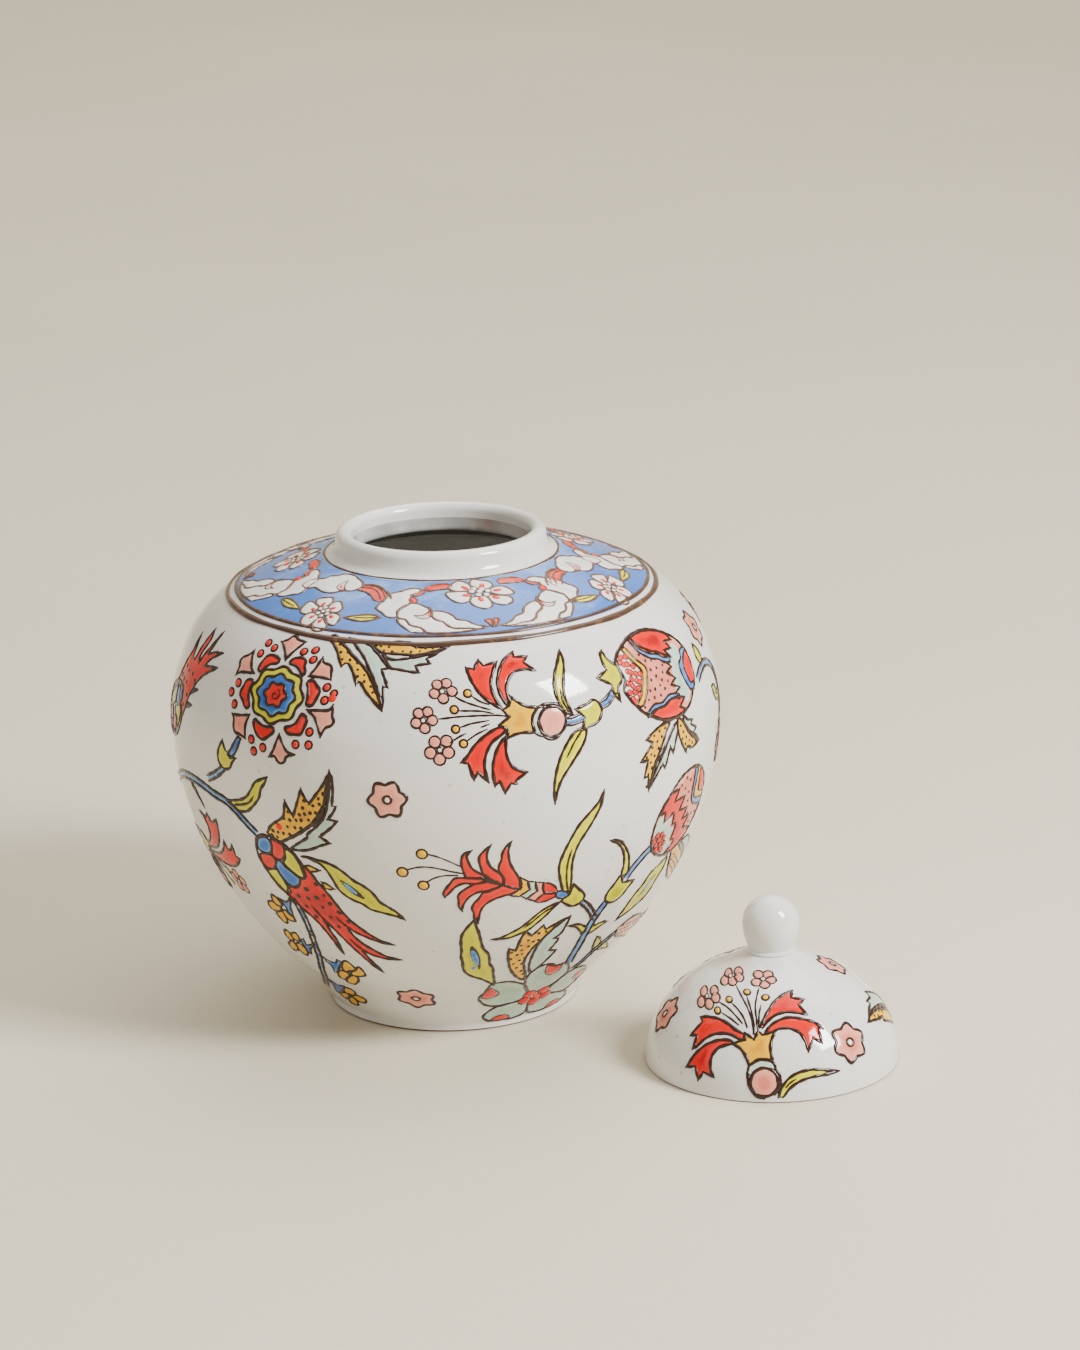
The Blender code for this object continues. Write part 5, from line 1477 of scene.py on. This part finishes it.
def finishPaint(body):
    painted = [pieceFrom(nameOf(*key), shape, finishes[key[2]]) for key, shape in paint.items()
               if key[0] == body]
    painted += [pieceFrom(nameOf(*key, "Lines"), lineShape(skins[body], groups), finishes[key[2]])
                for key, groups in lines.items() if key[0] == body]
    for piece in painted:
        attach(piece, body)


finishPaint("jar")
finishPaint("lid")
print("painting finished")
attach(jarPiece, "jar")
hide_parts("jar_body")
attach(lidPiece, "lid")
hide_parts("lid_shell")
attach(knobPiece, "lid")
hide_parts("lid_knob")

room = {                                     # a paper floor that bends up behind; metres
    "floor": (217, 208, 186), "width": 6.0, "front": -4.0, "depth": 3.2, "bend": 0.9, "bendSteps": 12,
    "height": 3.0, "air": (1.0, 0.94, 0.83, 1), "airStrength": 0.53}


def floorFinish():
    f = Finish("floorPaper", 0.62)
    plain, darker, lighter = (linear(*[v + change for v in room["floor"]]) for change in (0, -5, 8))
    broad, fine = f.noise(2.2, 3), f.noise(320, 3)
    base = f.mix(broad.ramp(0.3, 0.7), plain, darker)
    f.bump(fine, 0.0002, 0.25)
    return f.set(Base_Color=f.mix(fine.ramp(0.3, 0.7) * 0.25, base, lighter),
                 Roughness=0.6 + (fine - 0.5) * 0.1)


def floor():
    line = [(room["front"], 0), (room["depth"], 0)]
    for k in range(room["bendSteps"]):
        a = pi / 2 * (k + 1) / room["bendSteps"]
        line.append((room["depth"] + room["bend"] * sin(a), room["bend"] * (1 - cos(a))))
    line.append((room["depth"] + room["bend"], room["height"]))
    shape = bmesh.new()
    corners = [shape.verts.new((-room["width"] / 2, y, z)) for y, z in line]
    edges = [shape.edges.new(pair) for pair in zip(corners, corners[1:])]
    made = bmesh.ops.extrude_edge_only(shape, edges=edges)
    bmesh.ops.translate(shape, verts=[v for v in made["geom"] if isinstance(v, bmesh.types.BMVert)],
                        vec=(room["width"], 0, 0))
    bmesh.ops.recalc_face_normals(shape, faces=shape.faces)
    piece = pieceFrom("floor", shape, floorFinish())
    if sum(p.normal.z for p in piece.data.polygons) < 0:
        piece.data.flip_normals()


def lamp(name, place, target, size, power, colour):
    light = bpy.data.lights.new(name, "AREA")
    light.shape = "RECTANGLE"
    light.size, light.size_y = size
    light.energy = power
    light.color = colour
    holder = bpy.data.objects.new(name, light)
    holder.location = place
    holder.rotation_euler = (Vector(target) - Vector(place)).to_track_quat("-Z", "Y").to_euler()
    bpy.context.scene.collection.objects.link(holder)


floor()
print("floor laid")

middle = (0.04, -0.02, 0.09)
lamps = {                                    # place, what it points at, size in metres, watts, colour
    "window": ((1.25, -0.75, 1.15), middle, (0.48, 0.64), 62, (0.98, 0.99, 1.0)),
    "soft": ((0.5, 0.6, 2.2), middle, (1.8, 1.8), 22, (1.0, 0.98, 0.95)),
    "fill": ((-1.7, -1.6, 1.3), middle, (1.6, 1.6), 6, (1.0, 0.95, 0.88)),
    "behind": ((0.1, 2.3, 2.4), (0, 2.3, 0), (3.4, 2.2), 48, (1.0, 0.975, 0.93))}
for name, look in lamps.items():
    lamp(name, *look)
world = bpy.data.worlds.new("room")
world.use_nodes = True
world.node_tree.nodes["Background"].inputs["Color"].default_value = room["air"]
world.node_tree.nodes["Background"].inputs["Strength"].default_value = room["airStrength"]
bpy.context.scene.world = world
print("lamps hung")

view = {                                     # metres, radians, millimetres of lens and sensor
    "place": (0.0381, -1.6813, 0.6373), "down": 0.2916, "roll": -0.0235, "lens": 145.9, "sensor": 36}
lens = bpy.data.cameras.new("camera")
lens.sensor_fit, lens.sensor_width, lens.lens = "HORIZONTAL", view["sensor"], view["lens"]
camera = bpy.data.objects.new("camera", lens)
camera.location = view["place"]
forward = Vector((0, cos(view["down"]), -sin(view["down"])))
upward = Vector((0, sin(view["down"]), cos(view["down"])))
right = Vector((1, 0, 0))
across = right * cos(view["roll"]) + upward * sin(view["roll"])
upright = upward * cos(view["roll"]) - right * sin(view["roll"])
camera.rotation_euler = Matrix((across, upright, -forward)).transposed().to_euler()
bpy.context.scene.collection.objects.link(camera)
bpy.context.scene.camera = camera
print("camera placed")
